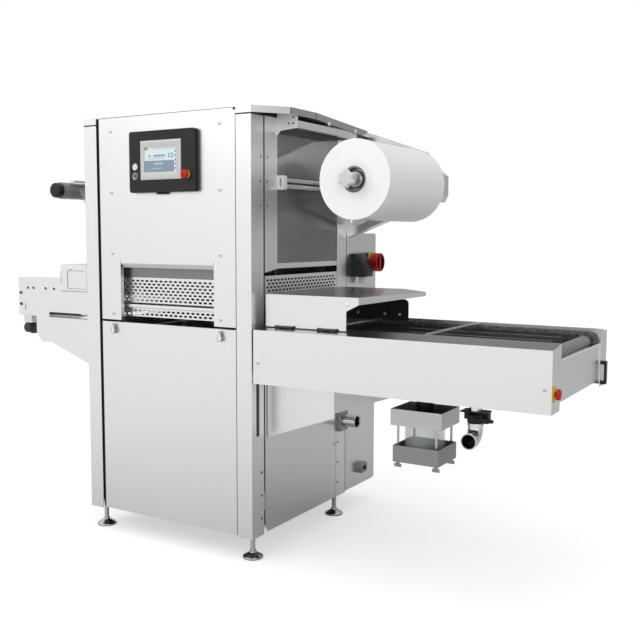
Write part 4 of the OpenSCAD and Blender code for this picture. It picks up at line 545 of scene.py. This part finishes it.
def stacked(levels, axis, ring=False):
    """Loops of points, each with its height along axis, joined to a skin: closed end to end as a
    ring, or closed by drawing the first and last loops together to their middles."""
    if not ring:
        (first, low), (last, high) = levels[0], levels[-1]
        levels = [(first * 0 + first.mean(0), low), *levels, (last * 0 + last.mean(0), high)]
    across = [k for k in range(3) if k != axis]
    points = np.zeros((len(levels), len(levels[0][0]), 3))
    for row, (points_2d, height) in zip(points, levels):
        row[:, across], row[:, axis] = points_2d, height
    return placed(points), weave(*points.shape[:2], ring, True)


def block(low, high, edge=1.0, axis=Y):
    """A block between two corners: its outline, a rectangle with round corners, is carried along
    axis and drawn in by half the edge at both ends."""
    low, high = np.array(low, float), np.array(high, float)
    across = [k for k in range(3) if k != axis]
    middle, half = (low + high)[across] / 2, (high - low)[across] / 2
    full, small = loop(middle, half, edge), loop(middle, half - edge / 2, edge / 2)
    a, b = low[axis], high[axis]
    return stacked([(small, a), (full, a + edge / 2), (full, b - edge / 2), (small, b)], axis)


def pipe(path, radius, wall, steps=48):
    """A pipe: a ring of radius is carried along path, and one of radius less wall comes back. Each
    ring lies across the path's own direction, with the world's X as its first side."""
    path = np.array(path, float)
    way = np.gradient(path, axis=0)
    way /= np.linalg.norm(way, axis=1)[:, None]
    side = np.tile([1.0, 0, 0], (len(path), 1))
    up = np.cross(way, side)
    a = np.linspace(0, 2 * np.pi, steps, endpoint=False)
    spokes = side[:, None] * np.cos(a)[None, :, None] + up[:, None] * np.sin(a)[None, :, None]
    rings = [path[:, None] + spokes * radius, path[::-1, None] + spokes[::-1] * (radius - wall)]
    points = np.concatenate(rings)
    return placed(points), weave(len(points), steps, True, True)


def taut_web(line, y0, y1, thick, ripple):
    """A closed skin round a line of points (x, z), carried from y0 to y1. Its middle is moved
    across the line by ripple * sin(0.045 y) * sin(pi s), where s runs from 0 to 1 along the line.
    The skin's two faces meet at its four edges."""

    def taper(angle):
        """1 for most of half a turn, and down to 0 near both of its ends."""
        return np.minimum(np.sin(angle) * 20, 1)

    line = np.array(line, float)
    run = np.concatenate([[0], np.cumsum(np.linalg.norm(np.diff(line, axis=0), axis=1))])
    s, y = np.linspace(0, 1, 60), np.linspace(y0, y1, 50)
    path = np.stack([np.interp(s * run[-1], run, line[:, k]) for k in (0, 1)], -1)
    way = np.gradient(path, axis=0)
    across = np.stack([-way[:, 1], way[:, 0]], -1) / np.linalg.norm(way, axis=1)[:, None]
    wave = ripple * np.sin(0.045 * y)[:, None] * np.sin(np.pi * s)[None, :]
    half = thick / 2 * taper(np.pi * (y - y0) / (y1 - y0))[:, None] * taper(np.pi * s)
    offset = np.concatenate([wave + half, (wave - half)[:, ::-1]], 1)
    base, normal = np.concatenate([path, path[::-1]]), np.concatenate([across, across[::-1]])
    flat = base[None] + offset[..., None] * normal[None]
    points = np.stack([flat[..., 0], np.broadcast_to(y[:, None], offset.shape), flat[..., 1]], -1)
    return placed(points), weave(*offset.shape, False, True)


def belt_loop(x0, x1, z, radius, thick, y0, y1, sag):
    """A belt round two rollers: half circles at x0 and x1 and two runs between them, the lower one
    hanging by sag * sin(pi u). Each point of the way carries a closed section, edges rounded."""
    turn_points, run_points = 25, 22
    a = np.linspace(np.pi / 2, 3 * np.pi / 2, turn_points)
    u = np.linspace(0, 1, run_points + 2)[1:-1]
    middles = np.concatenate([
        np.tile([x0, z], (turn_points, 1)),
        np.stack([x0 + (x1 - x0) * u, z - sag * np.sin(np.pi * u)], -1),
        np.tile([x1, z], (turn_points, 1)),
        np.stack([x1 + (x0 - x1) * u, z + 0 * u], -1),
    ])
    outward = np.concatenate([
        circle(a), np.tile([0, -1], (run_points, 1)),
        circle(a + np.pi), np.tile([0, 1], (run_points, 1)),
    ])
    top, edge, crown = radius + thick, thick * 0.4, 0.1
    section = np.array([
        (y0, radius), (y0, top - edge), (y0 + edge, top), ((y0 + y1) / 2, top + crown),
        (y1 - edge, top), (y1, top - edge), (y1, radius),
    ])
    flat = middles[:, None] + outward[:, None] * section[None, :, 1:]
    across = np.broadcast_to(section[:, 0], flat.shape[:2])
    points = np.stack([flat[..., 0], across, flat[..., 1]], -1)
    return placed(points), weave(*flat.shape[:2], True, True)


# Slots: pitch, row height, length and height; sheets: margins, thickness and points to a slot
slot_pitch, slot_row, slot_l, slot_h = 27.5, 14.5, 18.6, 9.2
margin_u, margin_v, sheet_t, cell_points = 6.75, 4.375, 2.0, 24


def slotted_sheet(low, high, fixed, normal):
    """A sheet of cells: in each, a ring of quads joins a slot with round ends to the cell's border,
    on both faces, and a wall lines the slot; plain strips close the sheet's border. low and high
    are (along, up) in millimetres, fixed is the front face's place, and normal the axis across."""
    least_u, least_v = 12, 8
    rows = int((high[1] - low[1] - least_v) // slot_row)
    columns = int((high[0] - low[0] - least_u - slot_pitch / 2) // slot_pitch)
    t = np.linspace(0, 2 * np.pi, cell_points, endpoint=False)
    straight = (slot_l - slot_h) / 2
    hole_u = np.clip(np.cos(t) * slot_l, -straight, straight) + np.cos(t) * slot_h / 2
    hole = np.stack([hole_u, np.sin(t) * slot_h / 2], -1)
    reach = np.stack([np.cos(t) * slot_pitch, np.sin(t) * slot_row * 1.5], -1)
    half = np.array([slot_pitch, slot_row]) / 2
    border = np.clip(reach, -half, half)
    r, c = np.meshgrid(np.arange(rows), np.arange(columns), indexing="ij")
    u0, v0 = low[0] + margin_u, low[1] + margin_v
    centre = np.stack([u0 + (c + 0.5 + (r % 2) / 2) * slot_pitch, v0 + (r + 0.5) * slot_row], -1)
    centre = centre.reshape(-1, 1, 2)
    ring = np.stack([centre + border, centre + hole, centre + hole, centre + border], 1)
    depth = np.array([0, 0, sheet_t, sheet_t])[None, :, None] + 0 * ring[..., 0]
    cells, per_cell = ring.shape[0], 4 * cell_points
    firsts = per_cell * np.arange(cells)[:, None, None]
    faces = (weave(4, cell_points, False, True)[None] + firsts).reshape(-1, 4)
    flat, levels, parts = [ring.reshape(-1, 2)], [depth.reshape(-1)], [faces]
    first = cells * per_cell
    row_v = v0 + np.arange(rows + 1) * slot_row
    strips = [(low[0], low[1], high[0], v0), (low[0], row_v[-1], high[0], high[1])]
    for k in range(rows):
        start = u0 + (k % 2) * slot_pitch / 2
        strips += [
            (low[0], row_v[k], start, row_v[k + 1]),
            (start + columns * slot_pitch, row_v[k], high[0], row_v[k + 1]),
        ]
    sides = np.array([
        (0, 1, 2, 3), (4, 7, 6, 5), (0, 4, 5, 1), (1, 5, 6, 2), (2, 6, 7, 3), (3, 7, 4, 0),
    ])
    for left, bottom, right, top in strips:
        corner = np.array([(left, bottom), (right, bottom), (right, top), (left, top)])
        flat.append(np.concatenate([corner, corner]))
        levels.append(np.repeat([0, sheet_t], 4))
        parts.append(sides + first)
        first += 8
    flat, levels = np.concatenate(flat), np.concatenate(levels) + fixed
    points = np.zeros((len(flat), 3))
    points[:, 1 - normal], points[:, normal], points[:, 2] = flat[:, 0], levels, flat[:, 1]
    return placed(points), np.concatenate(parts)


def hole_shade_dome(place, axis, way=1, size=1.0):
    """A low dome as painted shade in a hole, turned about axis, size times as wide as the small
    one, its top towards way.
    """
    dome = [(0, 0.8), (3, 0.7), (4.4, 0), (3, -0.5), (0, -0.5)]
    return lathe([(r * size, way * s) for r, s in dome], at(*place), axis, 24)


def screw(x, y, z):
    """A domed head turned about Y, with a round recess in it and its shank behind."""
    dome = [
        (0, -1.2), (3.2, -1.2), (3.4, -3.4), (5.5, -3.3), (7.4, -2.2), (8, 0), (3.05, 0),
        (3.05, 12), (0, 12),
    ]
    return lathe(dome, at(x, y, z), Y, steps=36)


# Star knob, in millimetres but for its count of lobes
lobes, knob_r, knob_wave, knob_y, hub_r, hub_l = 6, 32, 5, 58, 16, 72.7


def star(a, radius):
    """The rim swells and shrinks with the cosine of lobes times the angle, less towards the hub."""
    share = np.clip((radius - hub_r * MM) / ((knob_r - hub_r) * MM), 0, 1)
    return radius + share * knob_wave * MM * np.cos(lobes * a)


# Film reel: the ends show the turns as shallow ridges a few tenths of a millimetre high
reel_x, reel_z, reel_y0, film_w = 403, 1599, 130, 536
reel_r, bore_r, core_t, ridges = 159, 45, 6, 90
core_r = bore_r + core_t
chance = np.random.default_rng(4)
ring_r = np.linspace(core_r + 1, reel_r - 1, ridges)
ring_s = 0.5 + 0.35 * np.sin(ring_r * 0.9) * chance.random(ridges)
ring_s += 0.3 * chance.random(ridges)
reel = [
    (bore_r, 0), (core_r, 0), *zip(ring_r, ring_s),
    *[(reel_r, s) for s in np.linspace(2, film_w - 2, 12)],
    *zip(ring_r[::-1], film_w - ring_s), (core_r, film_w), (bore_r, film_w), (bore_r, 0),
]
reel_at = at(reel_x, reel_y0, reel_z)
reel_shape = lathe(reel, reel_at, Y, steps=180)
piece("wound_reel", reel_shape, wound_film(reel_at), "film_reel", ["film_roll"])

mandrel = [
    (0, -64), (8, -64), (8, 1), (28, 1), (36, 8), (36, 20), (44.7, 20), (44.7, 536.3), (70, 536.3),
    (70, 544.3), (20, 544.3), (20, 670.3), (0, 670.3),
]
piece("turned_mandrel", lathe(rounded(mandrel), reel_at, Y), reel_grey, "film_reel",
      ["roll_mandrel"])

knob = [
    (0, 1), (10, 0), (26, 0), (31, 2), (knob_r, 6), (knob_r, 20), (31, 24), (26, 26), (hub_r, 27),
    (hub_r, hub_l), (8.05, hub_l), (8.05, 8), (0, 8),
]
knob_shape = lathe(rounded(knob, 2), at(reel_x, knob_y, reel_z), Y, steps=144, wave=star)
piece("star_knob", knob_shape, knob_moulding, "roll_knob", ["roll_knob"], 50)

# Guide rollers between a white block and a dark one, each with one long slot for the two pins. The
# rear block's dark moulding is painted shade
roller_x, block_x, block_z, block_t = 20, 18, 1600, 28
bar = [(0, 200), (5, 200), (5, 214.3), (10, 214.3), (10, 706.7), (5, 706.7), (5, 721), (0, 721)]
for name, z in (("upper", 1613), ("lower", 1587)):
    roller, node = lathe(rounded(bar), at(roller_x, 0, z), Y, steps=40), f"guide_roller_{name}"
    piece(f"roller_{name}", roller, turned_steel, node, [node])
pin_slot = loop((roller_x, block_z), (5.05, 18.05), 5.05)
outline = loop((block_x, block_z), (18, 30), 7)
drawn_in = loop((block_x, block_z), (17, 29), 6)
for name, y, material in (("front", 186, white_moulding), ("rear", 707, charcoal)):
    levels = [
        (pin_slot, y), (drawn_in, y), (outline, y + 1), (outline, y + block_t - 1),
        (drawn_in, y + block_t), (pin_slot, y + block_t),
    ]
    piece(f"roller_block_{name}", stacked(levels, Y, True), material, FIXED,
          ["roller_brackets"])

# Rewinder: black tube and cap, and the skeleton film wound on it in uneven turns
rewind_at = at(-1146, 0, 1587)
tube = [
    (0, 14), (24, 14), (28, 14.6), (34, 18), (35, 21), (35, 40), (30, 40), (30, 707), (12, 707),
    (12, 797), (0, 797),
]
piece("rewind_tube", lathe(rounded(tube), rewind_at, Y, steps=96), black_moulding, "rewinder",
      ["rewind_shaft"])
turn_y = np.linspace(48.5, 665.5, ridges)
turn_r = 39.2 + 0.7 * np.sin(turn_y * 0.11) * chance.random(ridges)
wrap = [(30.1, 48), *zip(turn_r, turn_y), (30.1, 666), (30.1, 48)]
piece("rewound_film", lathe(wrap, rewind_at, Y), wrapped_film, "rewinder",
      ["rewind_shaft"])
web_line = rounded([(-40, 1092.5), (-839.7, 1092.5), (-1109.9, 1606)], 14)
web_shape = taut_web(web_line, y0=130, y1=666, thick=0.9, ripple=0.5)
piece("skeleton_web", web_shape, clear_film, FIXED, ["film_web"])

# Belt of the outfeed, its lower run hanging a little
belt_shape = belt_loop(x0=-1355, x1=-970, z=1020, radius=25.3, thick=2, y0=30, y1=765, sag=1.5)
piece("belt", belt_shape, belt_cloth, FIXED, ["outfeed_belt"], 50)

# Emergency stops: profiles run out from the face that each stands on
head = [
    (0, -25), (9, -24.7), (15.5, -23.4), (19, -20.8), (20, -17), (19, -10.3), (6, -10.3), (6, 12),
    (0, 12),
]
stops = (
    ("panel", at(-312, -23, 1633), Y, 1, 17.5),
    ("conveyor", at(1246, 30, 838), X, -1, 30),
)
collars = []
for name, place, axis, way, ring in stops:
    dome = lathe([(r, way * s) for r, s in rounded(head, 2.5)], place, axis, 64)
    piece(f"stop_head_{name}", dome, stop_red, f"estop_{name}",
          [f"estop_knob_{name}"])
    collar = [
        (6.05, 0), (ring, 0), (ring, -2.5), (14, -2.5), (14, -4), (11.5, -5), (9, -5), (6.05, -2),
        (6.05, 0),
    ]
    collars.append(lathe([(r, way * s) for r, s in rounded(collar)], place, axis, 64))
piece("stop_collars", collars, stop_yellow, FIXED, ["estop_collars"])

# Operator panel: a pressed frame round the screen, rings round the two buttons and a ring mark
bezel, screen = (-455.5, 1698.5), (-459, 1700)
press = [
    (loop(bezel, (111.5, 82.5), 5), -24.9), (loop(bezel, (111.5, 82.5), 5), -25.5),
    (loop(bezel, (109, 80), 5), -26.4), (loop(bezel, (104, 75), 5), -26.6),
    (loop(screen, (93, 57), 3), -25.8), (loop(screen, (89.6, 53.6), 2), -24.9),
]
piece("screen_frame", stacked(press, Y, True), bezel_grey, FIXED)
button_x, button_zs = -601, (1673, 1633)
button_ring = [(12.4, 0), (15, 0), (15, -1.2), (14, -2), (12.4, -1.6), (12.4, 0)]
rings = [lathe(button_ring, at(button_x, -23, z), Y, steps=48) for z in button_zs]
piece("button_rings", rings, turned_steel, FIXED)
mark = lathe(band(6, 8, 0, -0.3), at(button_x, -25, button_zs[1]), Y, steps=48)
piece("button_mark", mark, grey_moulding, "stop_button")

# Levelling feet, under the middles of the solids' own feet
foot_low, foot_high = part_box("levelling_feet")
foot_r = 44 * MM
foot = [
    (0, 0), (44, 0), (44, 9), (14, 26), (14, 35), (10, 35), (10, 120), (15, 120), (15, 132),
    (10, 132), (10, 160), (0, 160),
]
feet = [
    lathe(rounded(foot, 2), (x, y, 0), Z, steps=56)
    for x in (foot_low.x + foot_r, foot_high.x - foot_r)
    for y in (foot_low.y + foot_r, foot_high.y - foot_r)
]
piece("turned_feet", feet, turned_steel, FIXED, ["levelling_feet"])

# Guards: four slotted sheets, the two posts and the bar of the front ones, and a plain hood band
guards = [
    slotted_sheet((-765, 1010), (-148, 1049), 48, Y),
    slotted_sheet((-765, 1073), (-148, 1187), 48, Y),
    slotted_sheet((98, 1090), (703, 1208), -2.5, X),
    slotted_sheet((98, 1090), (703, 1208), -929.5, X),
    block((-777, 36, 1010), (-765, 50, 1262), axis=Z),
    block((-148, 36, 1010), (-136, 50, 1262), axis=Z),
    block((-765, 36, 1051), (-148, 48, 1065), axis=X),
]
piece("slotted_guards", guards, front_steel, FIXED, ["perforated_guards"], 30)
# Painted shade: the hood band wears dark steel for the shade on the guards' hood
hood = block((-765, 46, 1187), (-148, 48, 1266), axis=X)
piece("guard_hood", hood, hood_steel, FIXED)

# Drain pipe with its black valve, and the vacuum port on its grey flange
drain_x, mouth_y, mouth_z, bend_y, bend_r, riser_y = 855, 250, 578, 280, 45, 325
turn = np.linspace(0, np.pi / 2, 14)
bend = [
    (drain_x, bend_y + bend_r * math.sin(t), mouth_z + bend_r * (1 - math.cos(t))) for t in turn
]
drain_path = [
    (drain_x, mouth_y, mouth_z), (drain_x, 252, mouth_z), (drain_x, 278, mouth_z), *bend,
    (drain_x, riser_y, 630), (drain_x, riser_y, 640),
]
mouth, riser = at(drain_x, mouth_y, mouth_z), at(drain_x, riser_y, 0)
rim = [(33.5, 0), (33.5, 6), (31.5, 7.5)]
port = [(30, 18), (30, 84), (31.5, 85), (31.5, 88)]
pipes = [
    pipe(drain_path, 30, 1.5),
    lathe(shell([(32.4, 13), (32.4, 21)], 2.6), mouth, Y),
    lathe(shell(rounded(rim), 3), mouth, Y),
    lathe(shell(rounded([(33, 632), (33, 638)]), 4), riser, Z),
    lathe(shell(rounded(port), 2.5), at(0, 760, 478), X),
    lathe([(0, 684), (26, 684), (26, 866), (0, 866)], riser, Z),
]
piece("pipework", pipes, bright_tube, FIXED, ["pipe_fittings"])
valve = [(0, 638), (26, 638), (30, 642), (34, 645), (34, 677), (30, 681), (26, 684), (0, 684)]
boss = band(5.05, 15, 285, 300)
valve_parts = [
    lathe(rounded(valve, 2), riser, Z),
    lathe(rounded(boss), at(drain_x, 0, 661), Y, steps=40),
    block((800, 291, 684), (910, 359, 690), 3, Z),
    block((800, 307, 864), (1046, 343, 870), 2, Z),
    block((866, 322, 640), (908, 356, 686), 4, Z),
    block((806, 322, 652), (836, 352, 690), 4, Z),
]
piece("valve_body", valve_parts, black_moulding, FIXED, ["pipe_fittings"])
flange = block((0, 716, 428), (18, 792, 528), 4, X)
piece("port_flange", flange, flange_steel, FIXED, ["pipe_fittings"])

# Separator: dark sheets as painted shade in its two open boxes, its glass, a dark float in the
# glass and a sleeve
sep_x, sep_y = 628.5, 345
sep_at = at(sep_x, sep_y, 0)
shade_sheets = [
    block((sep_x - 104, 258, 613.2), (sep_x + 104, 432, 614), 0.6, Z),
    block((sep_x - 92, 258, 462.2), (sep_x + 92, 432, 463), 0.6, Z),
]
piece("pan_shade_sheets", shade_sheets, pan_dark, FIXED)
float_side = rounded([(0, 463), (26, 463), (26, 500), (21, 504), (21, 533), (0, 535)])
dish_side = rounded([(0, 606.8), (46, 606.8), (40, 600), (18, 596), (0, 595.5)])
float_shape = lathe(float_side, at(sep_x + 44, sep_y - 12, 0), Z, steps=40)
core = [float_shape, lathe(dish_side, sep_at, Z, steps=56)]
piece("separator_core", core, pan_dark, FIXED)
sleeve = lathe(rounded(band(34.2, 37, 614, 860)), sep_at, Z)
piece("separator_sleeve", sleeve, black_moulding, FIXED)
glass = lathe(shell([(84, 462), (84, 607)], 5), sep_at, Z, steps=96)
piece("glass_cylinder", glass, clear_glass, FIXED, ["separator_glass"])

# Cabinet fittings: switch base with its yellow plate, plug housing with its gland, and a socket box
switch_y, switch_z = 1015.3, 1245
switch_mid, switch_at = (switch_y, switch_z), at(0, switch_y, switch_z)
plate, plate_hole, back_plate = (
    loop(switch_mid, half, r) for half, r in (((47, 47), 6), ((29, 29), 29), ((45, 45), 6))
)
plug_side = [(0, 1230), (0, 1176), (62, 1176), (62, 1228), (22, 1290), (0, 1290), (0, 1230)]
plug_side = np.array(rounded(plug_side, 6)[:-1])
plug_in = plug_side.mean(0) + (plug_side - plug_side.mean(0)) * 0.96
back_levels = [(plate_hole, 8), (back_plate, 8), (back_plate, 29.3), (plate_hole, 29.3)]
black_parts = [
    block((0, switch_y - 48, switch_z - 48), (8, switch_y + 48, switch_z + 48), 4, X),
    lathe(shell([(22, 8), (22, 16)], 15.9), switch_at, X, steps=48),
    stacked(back_levels, X, True),
    stacked([(plug_in, 858.3), (plug_side, 861), (plug_side, 959.6), (plug_in, 962.3)], Y),
    block((14.2, 934, 189.5), (20, 967, 210.5), 2, X),
]
piece("switch_and_plug", black_parts, black_moulding, FIXED,
      ["cabinet_fittings"])
gland = [
    (0, 1142), (13, 1142), (17, 1145), (18.5, 1148), (18.5, 1159), (20, 1161), (20, 1176),
    (0, 1176),
]
piece("gland", lathe(gland, at(31, 910.3, 0), Z, steps=12), white_moulding, FIXED,
      ["cabinet_fittings"], 25)
socket_mid = (950.3, 199.8)
box_outline, box_front, socket_hole = (
    loop(socket_mid, half, r) for half, r in (((31, 24), 4), ((29.5, 22.5), 4), ((17, 11), 2))
)
box_levels = [
    (box_outline, 0), (box_outline, 26.5), (box_front, 28), (socket_hole, 28), (socket_hole, 14),
]
piece("socket_box", stacked(box_levels, X), flange_steel, FIXED,
      ["cabinet_fittings"])
ground = [(plate, 29.5), (plate, 31.5), (plate_hole, 31.5), (plate_hole, 29.5)]
piece("switch_ground_plate", stacked(ground, X, True), stop_yellow, FIXED)
# Painted shade: a black disc and lining in the red handle's hollow
disc = [(0, 50.4), (39.6, 50.4), (39.6, 51.4), (0, 51.4)]
handle_shade_parts = [lathe(side, switch_at, X, 64) for side in (disc, band(39.4, 39.9, 51, 75))]
piece("handle_inside_shade", handle_shade_parts, black_moulding, "main_switch")

# Gearmotor with cooling ribs round its body, on a steel beam
ribs = [(0, 6), (22, 6), (24, 9), (24, 28), (31, 34), (33, 40)]
for s in range(46, 190, 9):
    ribs += [(33, s), (33, s + 3.5), (30, s + 4), (30, s + 8.5)]
ribs += [(33, 190), (33, 196), (0, 196)]
gearbox = block((-1384, 196, 891), (-1282, 262, 948), 5)
motor = [lathe(ribs, at(-1351, 0, 924), Y, steps=64), gearbox]
piece("gearmotor", motor, frame_black, FIXED, ["outfeed_motor"])
beam = block((-1369, 4, 948), (-1315, 791, 984), 3)
piece("motor_beam", beam, side_steel, FIXED, ["outfeed_motor"])
cap = rounded([(0, 0), (7, 0), (9.2, 1.2), (9.2, 3.5), (0, 3.5)])
knob_caps = [lathe(cap, at(-1383, 0, z), Y, steps=32) for z in (1095, 1040)]
piece("outfeed_knobs", knob_caps, charcoal, FIXED)

# Black strips as painted shade in the gaps, round the recessed panel and in the canopy's seams,
# each a thin block between two corners
shaded_gaps = [
    # Round the front panel and the door
    ((-79.4, -0.2, 994), (-75.8, 6, 1868)),
    ((-79.4, -0.2, 110), (-75.8, 6, 982)),
    ((-853.6, 8, 110), (-836.4, 10, 1868)),
    ((-90, -0.3, 1886), (-79.3, 2.8, 1894.6)),
    ((-835, 1, 1895.2), (-79.3, 3, 1897.6)),
    ((-88, -0.3, 984.6), (-76.3, 2.8, 993.4)),
    # Between the posts and the roof
    ((-76, -0.3, 1865.8), (0.3, 1, 1871.9)),
    ((-0.7, 0, 1865.8), (0.3, 88, 1871.9)),
    ((-930.3, -0.3, 1865.8), (-854, 1, 1871.9)),
    # On the right side, behind the front post and at the cabinet
    ((-1.4, 88.3, 1110), (-0.4, 97.8, 1866)),
    ((-1.4, 794, 112), (0.2, 799, 1388)),
    # Round the outfeed cover and its recessed panel
    ((-1101, 0.2, 1112), (-934, 0.9, 1114)),
    ((-1059.8, 0.6, 1125), (-1058.2, 1.2, 1209)),
    ((-1059, 0.6, 1208.2), (-948, 1.2, 1209.8)),
    ((-1059, 0.6, 1124.2), (-948, 1.2, 1125.8)),
    ((-1102.4, 0.2, 1150), (-1100.6, 2, 1205)),
    # In the canopy's edge
    ((104, 132.4, 1872.5), (106.8, 135.6, 1899.5)),
    ((107, 326.4, 1872.5), (110.7, 329.6, 1899)),
]
gap_shades = [block(low, high, 0.4, Z) for low, high in shaded_gaps]
piece("panel_gap_shades", gap_shades, black_and_painted_shade, FIXED)

# Black domes as painted shade in the holes of the posts, the bracket and the outfeed, and bright
# bolts on the black guide plate
post_zs, low_zs, low_size, outfeed_size = (1500, 1600, 1700), (175, 275, 375), 1.35, 1.5
hole_shades = [
    hole_shade_dome((0, y, z), X, size=low_size if z in low_zs else 1.0)
    for z in low_zs + post_zs for y in (70, 722)
]
hole_shades += [hole_shade_dome((0, 116, z), X) for z in post_zs]
hole_shades += [hole_shade_dome((x, 188.6, z), Y, -1) for x, z in ((60.5, 1842), (82.5, 1842), (84, 1868))]
hole_shades += [
    hole_shade_dome((x, 0.5, 1121), Y, -1, outfeed_size)
    for x in (-1330.4, -1292.7, -1207.9, -1151.4)
]
piece("hole_shade_domes", hole_shades, black_and_painted_shade, FIXED)
bolt = [(0, -4.2), (5, -4.2), (8.2, -2.4), (8.2, 0), (0, 0)]
bolts = [lathe(rounded(bolt), at(x, 683, 1020), Y, steps=32) for x in (130, 270, 345)]
piece("guide_plate_bolts", bolts, latch_steel, FIXED)

# Bright plate on the front of the canopy's bracket
bracket = [(40, 1894), (1, 1894), (1, 1799), (18, 1816), (102, 1824), (102, 1894), (40, 1894)]
bracket = np.array(rounded(bracket, 9)[:-1])
plate_shape = stacked([(bracket, 188.5), (bracket, 188.95)], Y)
piece("bracket_plate", plate_shape, plate_steel, FIXED)

# Painted highlights: bright strips on the canopy's edge, and round the opening in the infeed's end
painted_highlights = [
    block((106, 430, 1858), (111.4, 447, 1872), 1, X),
    block((106, 671, 1851), (111.4, 688, 1865), 1, X),
    block((1239.5, 110, 942.5), (1244.2, 685, 945.8), 1),
    block((1243.4, 104.6, 948), (1246.5, 107, 1002), 1, Z),
]
piece("painted_highlight_strips", painted_highlights, plate_steel, FIXED)

# Cover hinges: dark caps on the pins' ends, and sleeves on the knuckles that turn with the cover
hinge_xs, pin_y, pin_z = (86, 288), 53, 1004
caps = [
    lathe(rounded([(0, a), (6.4, a), (6.4, a + 5), (0, a + 5)]), at(0, pin_y, pin_z), X, steps=28)
    for x in hinge_xs for a in (x - 4, x + 79)
]
piece("hinge_caps", caps, black_and_painted_shade, FIXED)
sleeves = [
    lathe(band(5.03, 5.4, x + 24.4, x + 55.6), at(0, pin_y, pin_z), X, steps=28)
    for x in hinge_xs
]
piece("hinge_sleeves", sleeves, frame_black, "guard_cover")

# Dark bands on the infeed's tail roller
bands = [
    lathe(band(26.5, 27.3, a, b), at(1195, 0, 953), Y, steps=64)
    for a, b in ((161.6, 166), (171, 178), (617, 624), (629, 633.4))
]
piece("roller_bands", bands, black_and_painted_shade, "infeed_tail_roller")

# Latches: a bright face on each wing, whose dark steel is painted shade; each face is a drop from
# the round boss up to the narrow tip
boss_r, tip_r, tip_up = 9.4, 1.6, 30
turn_a = np.linspace(math.pi, 2 * math.pi, 25)
tip_arc = tip_r * circle(turn_a - math.pi) + (0, tip_up)
drop = np.concatenate([boss_r * circle(turn_a), tip_arc]) + (1.0, 944)
for name, x in (("left", -760), ("right", -156)):
    face = stacked([(drop + (x, 0), y) for y in (-15.1, -15.6, -15.9)], Y)
    piece(f"latch_face_{name}", face, latch_steel, f"latch_{name[0]}")

# Screws: two rows of four on the front panel, two on the infeed's front and two on the right side
row_top, row_step = 1836, 271
screw_places = [(x, 0, row_top - row_step * k) for x in (-765, -157) for k in range(4)]
heads = [screw(*place) for place in [*screw_places, (29, 4, 855), (1222, 4, 855)]]
side_dome = [(0, 2.4), (3.2, 2.4), (3.4, 3.4), (6, 3.2), (8, 0), (0, 0)]
heads += [lathe(side_dome, at(0, y, z), X, steps=36) for y, z in ((114, 175), (687, 375))]
piece("screw_heads", heads, turned_steel, FIXED, ["panel_screws"])


def front_left(x, y):
    """How far the wires x and y lie towards the front left."""
    return x * -0.5 + y * -0.85


def studio():
    """A pale floor that keeps the shadow and turns white for the camera, and three lamps. To glossy
    rays floor and world grow lighter towards the front left, as a studio sweep does."""
    size, start, rise, white, sheen = 30.0, 0.9, 0.22, 0.54, 0.42
    corners = [(-size, -size, 0), (size, -size, 0), (size, size, 0), (-size, size, 0)]
    mesh = bpy.data.meshes.new("floor")
    mesh.from_pydata(corners, [], [(0, 1, 2, 3)])
    floor = bpy.data.objects.new("floor", mesh)
    scene.collection.objects.link(floor)
    material = bpy.data.materials.new("floor_pale")
    material.use_nodes = True
    m = Maker(material.node_tree)
    x, y, _ = m.parts(m.place())
    distance = (x * x + y * y).root()
    towards = (front_left(x, y) / distance * 0.5 + 0.5).clip()
    sweep = ((distance - start) * rise).clip() * towards
    cloud = m.noise(m.place(), 0.7)
    base = m.node("BsdfDiffuse", Color=m.mix(cloud, (0.60, 0.60, 0.60), (0.62, 0.62, 0.62)))
    camera, glossy, through = m.rays("Camera", "Glossy", "Transmission")
    strength = (camera + through) * white + glossy * sweep * sheen
    glow = m.node("Emission", Color=(1.0, 1.0, 1.0), Strength=strength)
    m.node("OutputMaterial", Surface=m.node("AddShader", _0=base, _1=glow))
    mesh.materials.append(material)

    world = bpy.data.worlds.new("studio")
    scene.world = world
    world.use_nodes = True
    m = Maker(world.node_tree)
    x, y, z = m.parts(m.node("TexCoord"))
    level = (front_left(x, y) * 0.29 + z * 0.12 + 0.70).clip()
    camera, through = m.rays("Camera", "Transmission")
    seen = (camera + through).clip()
    back = m.node("Background", Color=(1.0, 1.0, 1.0), Strength=seen * (1.0 - level) + level)
    m.node("OutputWorld", Surface=back)

    for name, place, aim, watts, width in (
        ("key", (-2.2, -4.2, 4.2), (0, 0, 0.9), 52.0, 3.0),
        ("fill", (3.6, -3.2, 2.4), (0.5, 0, 1.3), 26.0, 2.2),
        ("top", (0.3, -0.2, 5.2), (0, 0, 0.0), 34.0, 3.5),
    ):
        lamp = bpy.data.lights.new(name, "AREA")
        lamp.energy, lamp.size = watts, width
        holder = bpy.data.objects.new(name, lamp)
        scene.collection.objects.link(holder)
        holder.location = place
        way = np.array(aim) - np.array(place)
        tilt = math.acos(-way[2] / np.linalg.norm(way))
        holder.rotation_euler = (tilt, 0, math.atan2(way[1], way[0]) - math.pi / 2)


def photo_camera():
    """The camera solved from the photograph, turned left of the back, tilted down and rolled a
    little."""
    yaw, pitch, roll = 30.82, 5.49, 0.21
    data = bpy.data.cameras.new("camera")
    data.sensor_width, data.lens = 36.0, 49.29
    camera = bpy.data.objects.new("camera", data)
    scene.collection.objects.link(camera)
    camera.location = at(2077.4, -2933.0, 1376.9)
    aimed = Euler((math.radians(90 - pitch), 0, math.radians(yaw))).to_matrix()
    camera.rotation_euler = (aimed @ Euler((0, 0, math.radians(roll))).to_matrix()).to_euler()
    scene.camera = camera


studio()
photo_camera()
bpy.context.scene.view_settings.view_transform = "Standard"
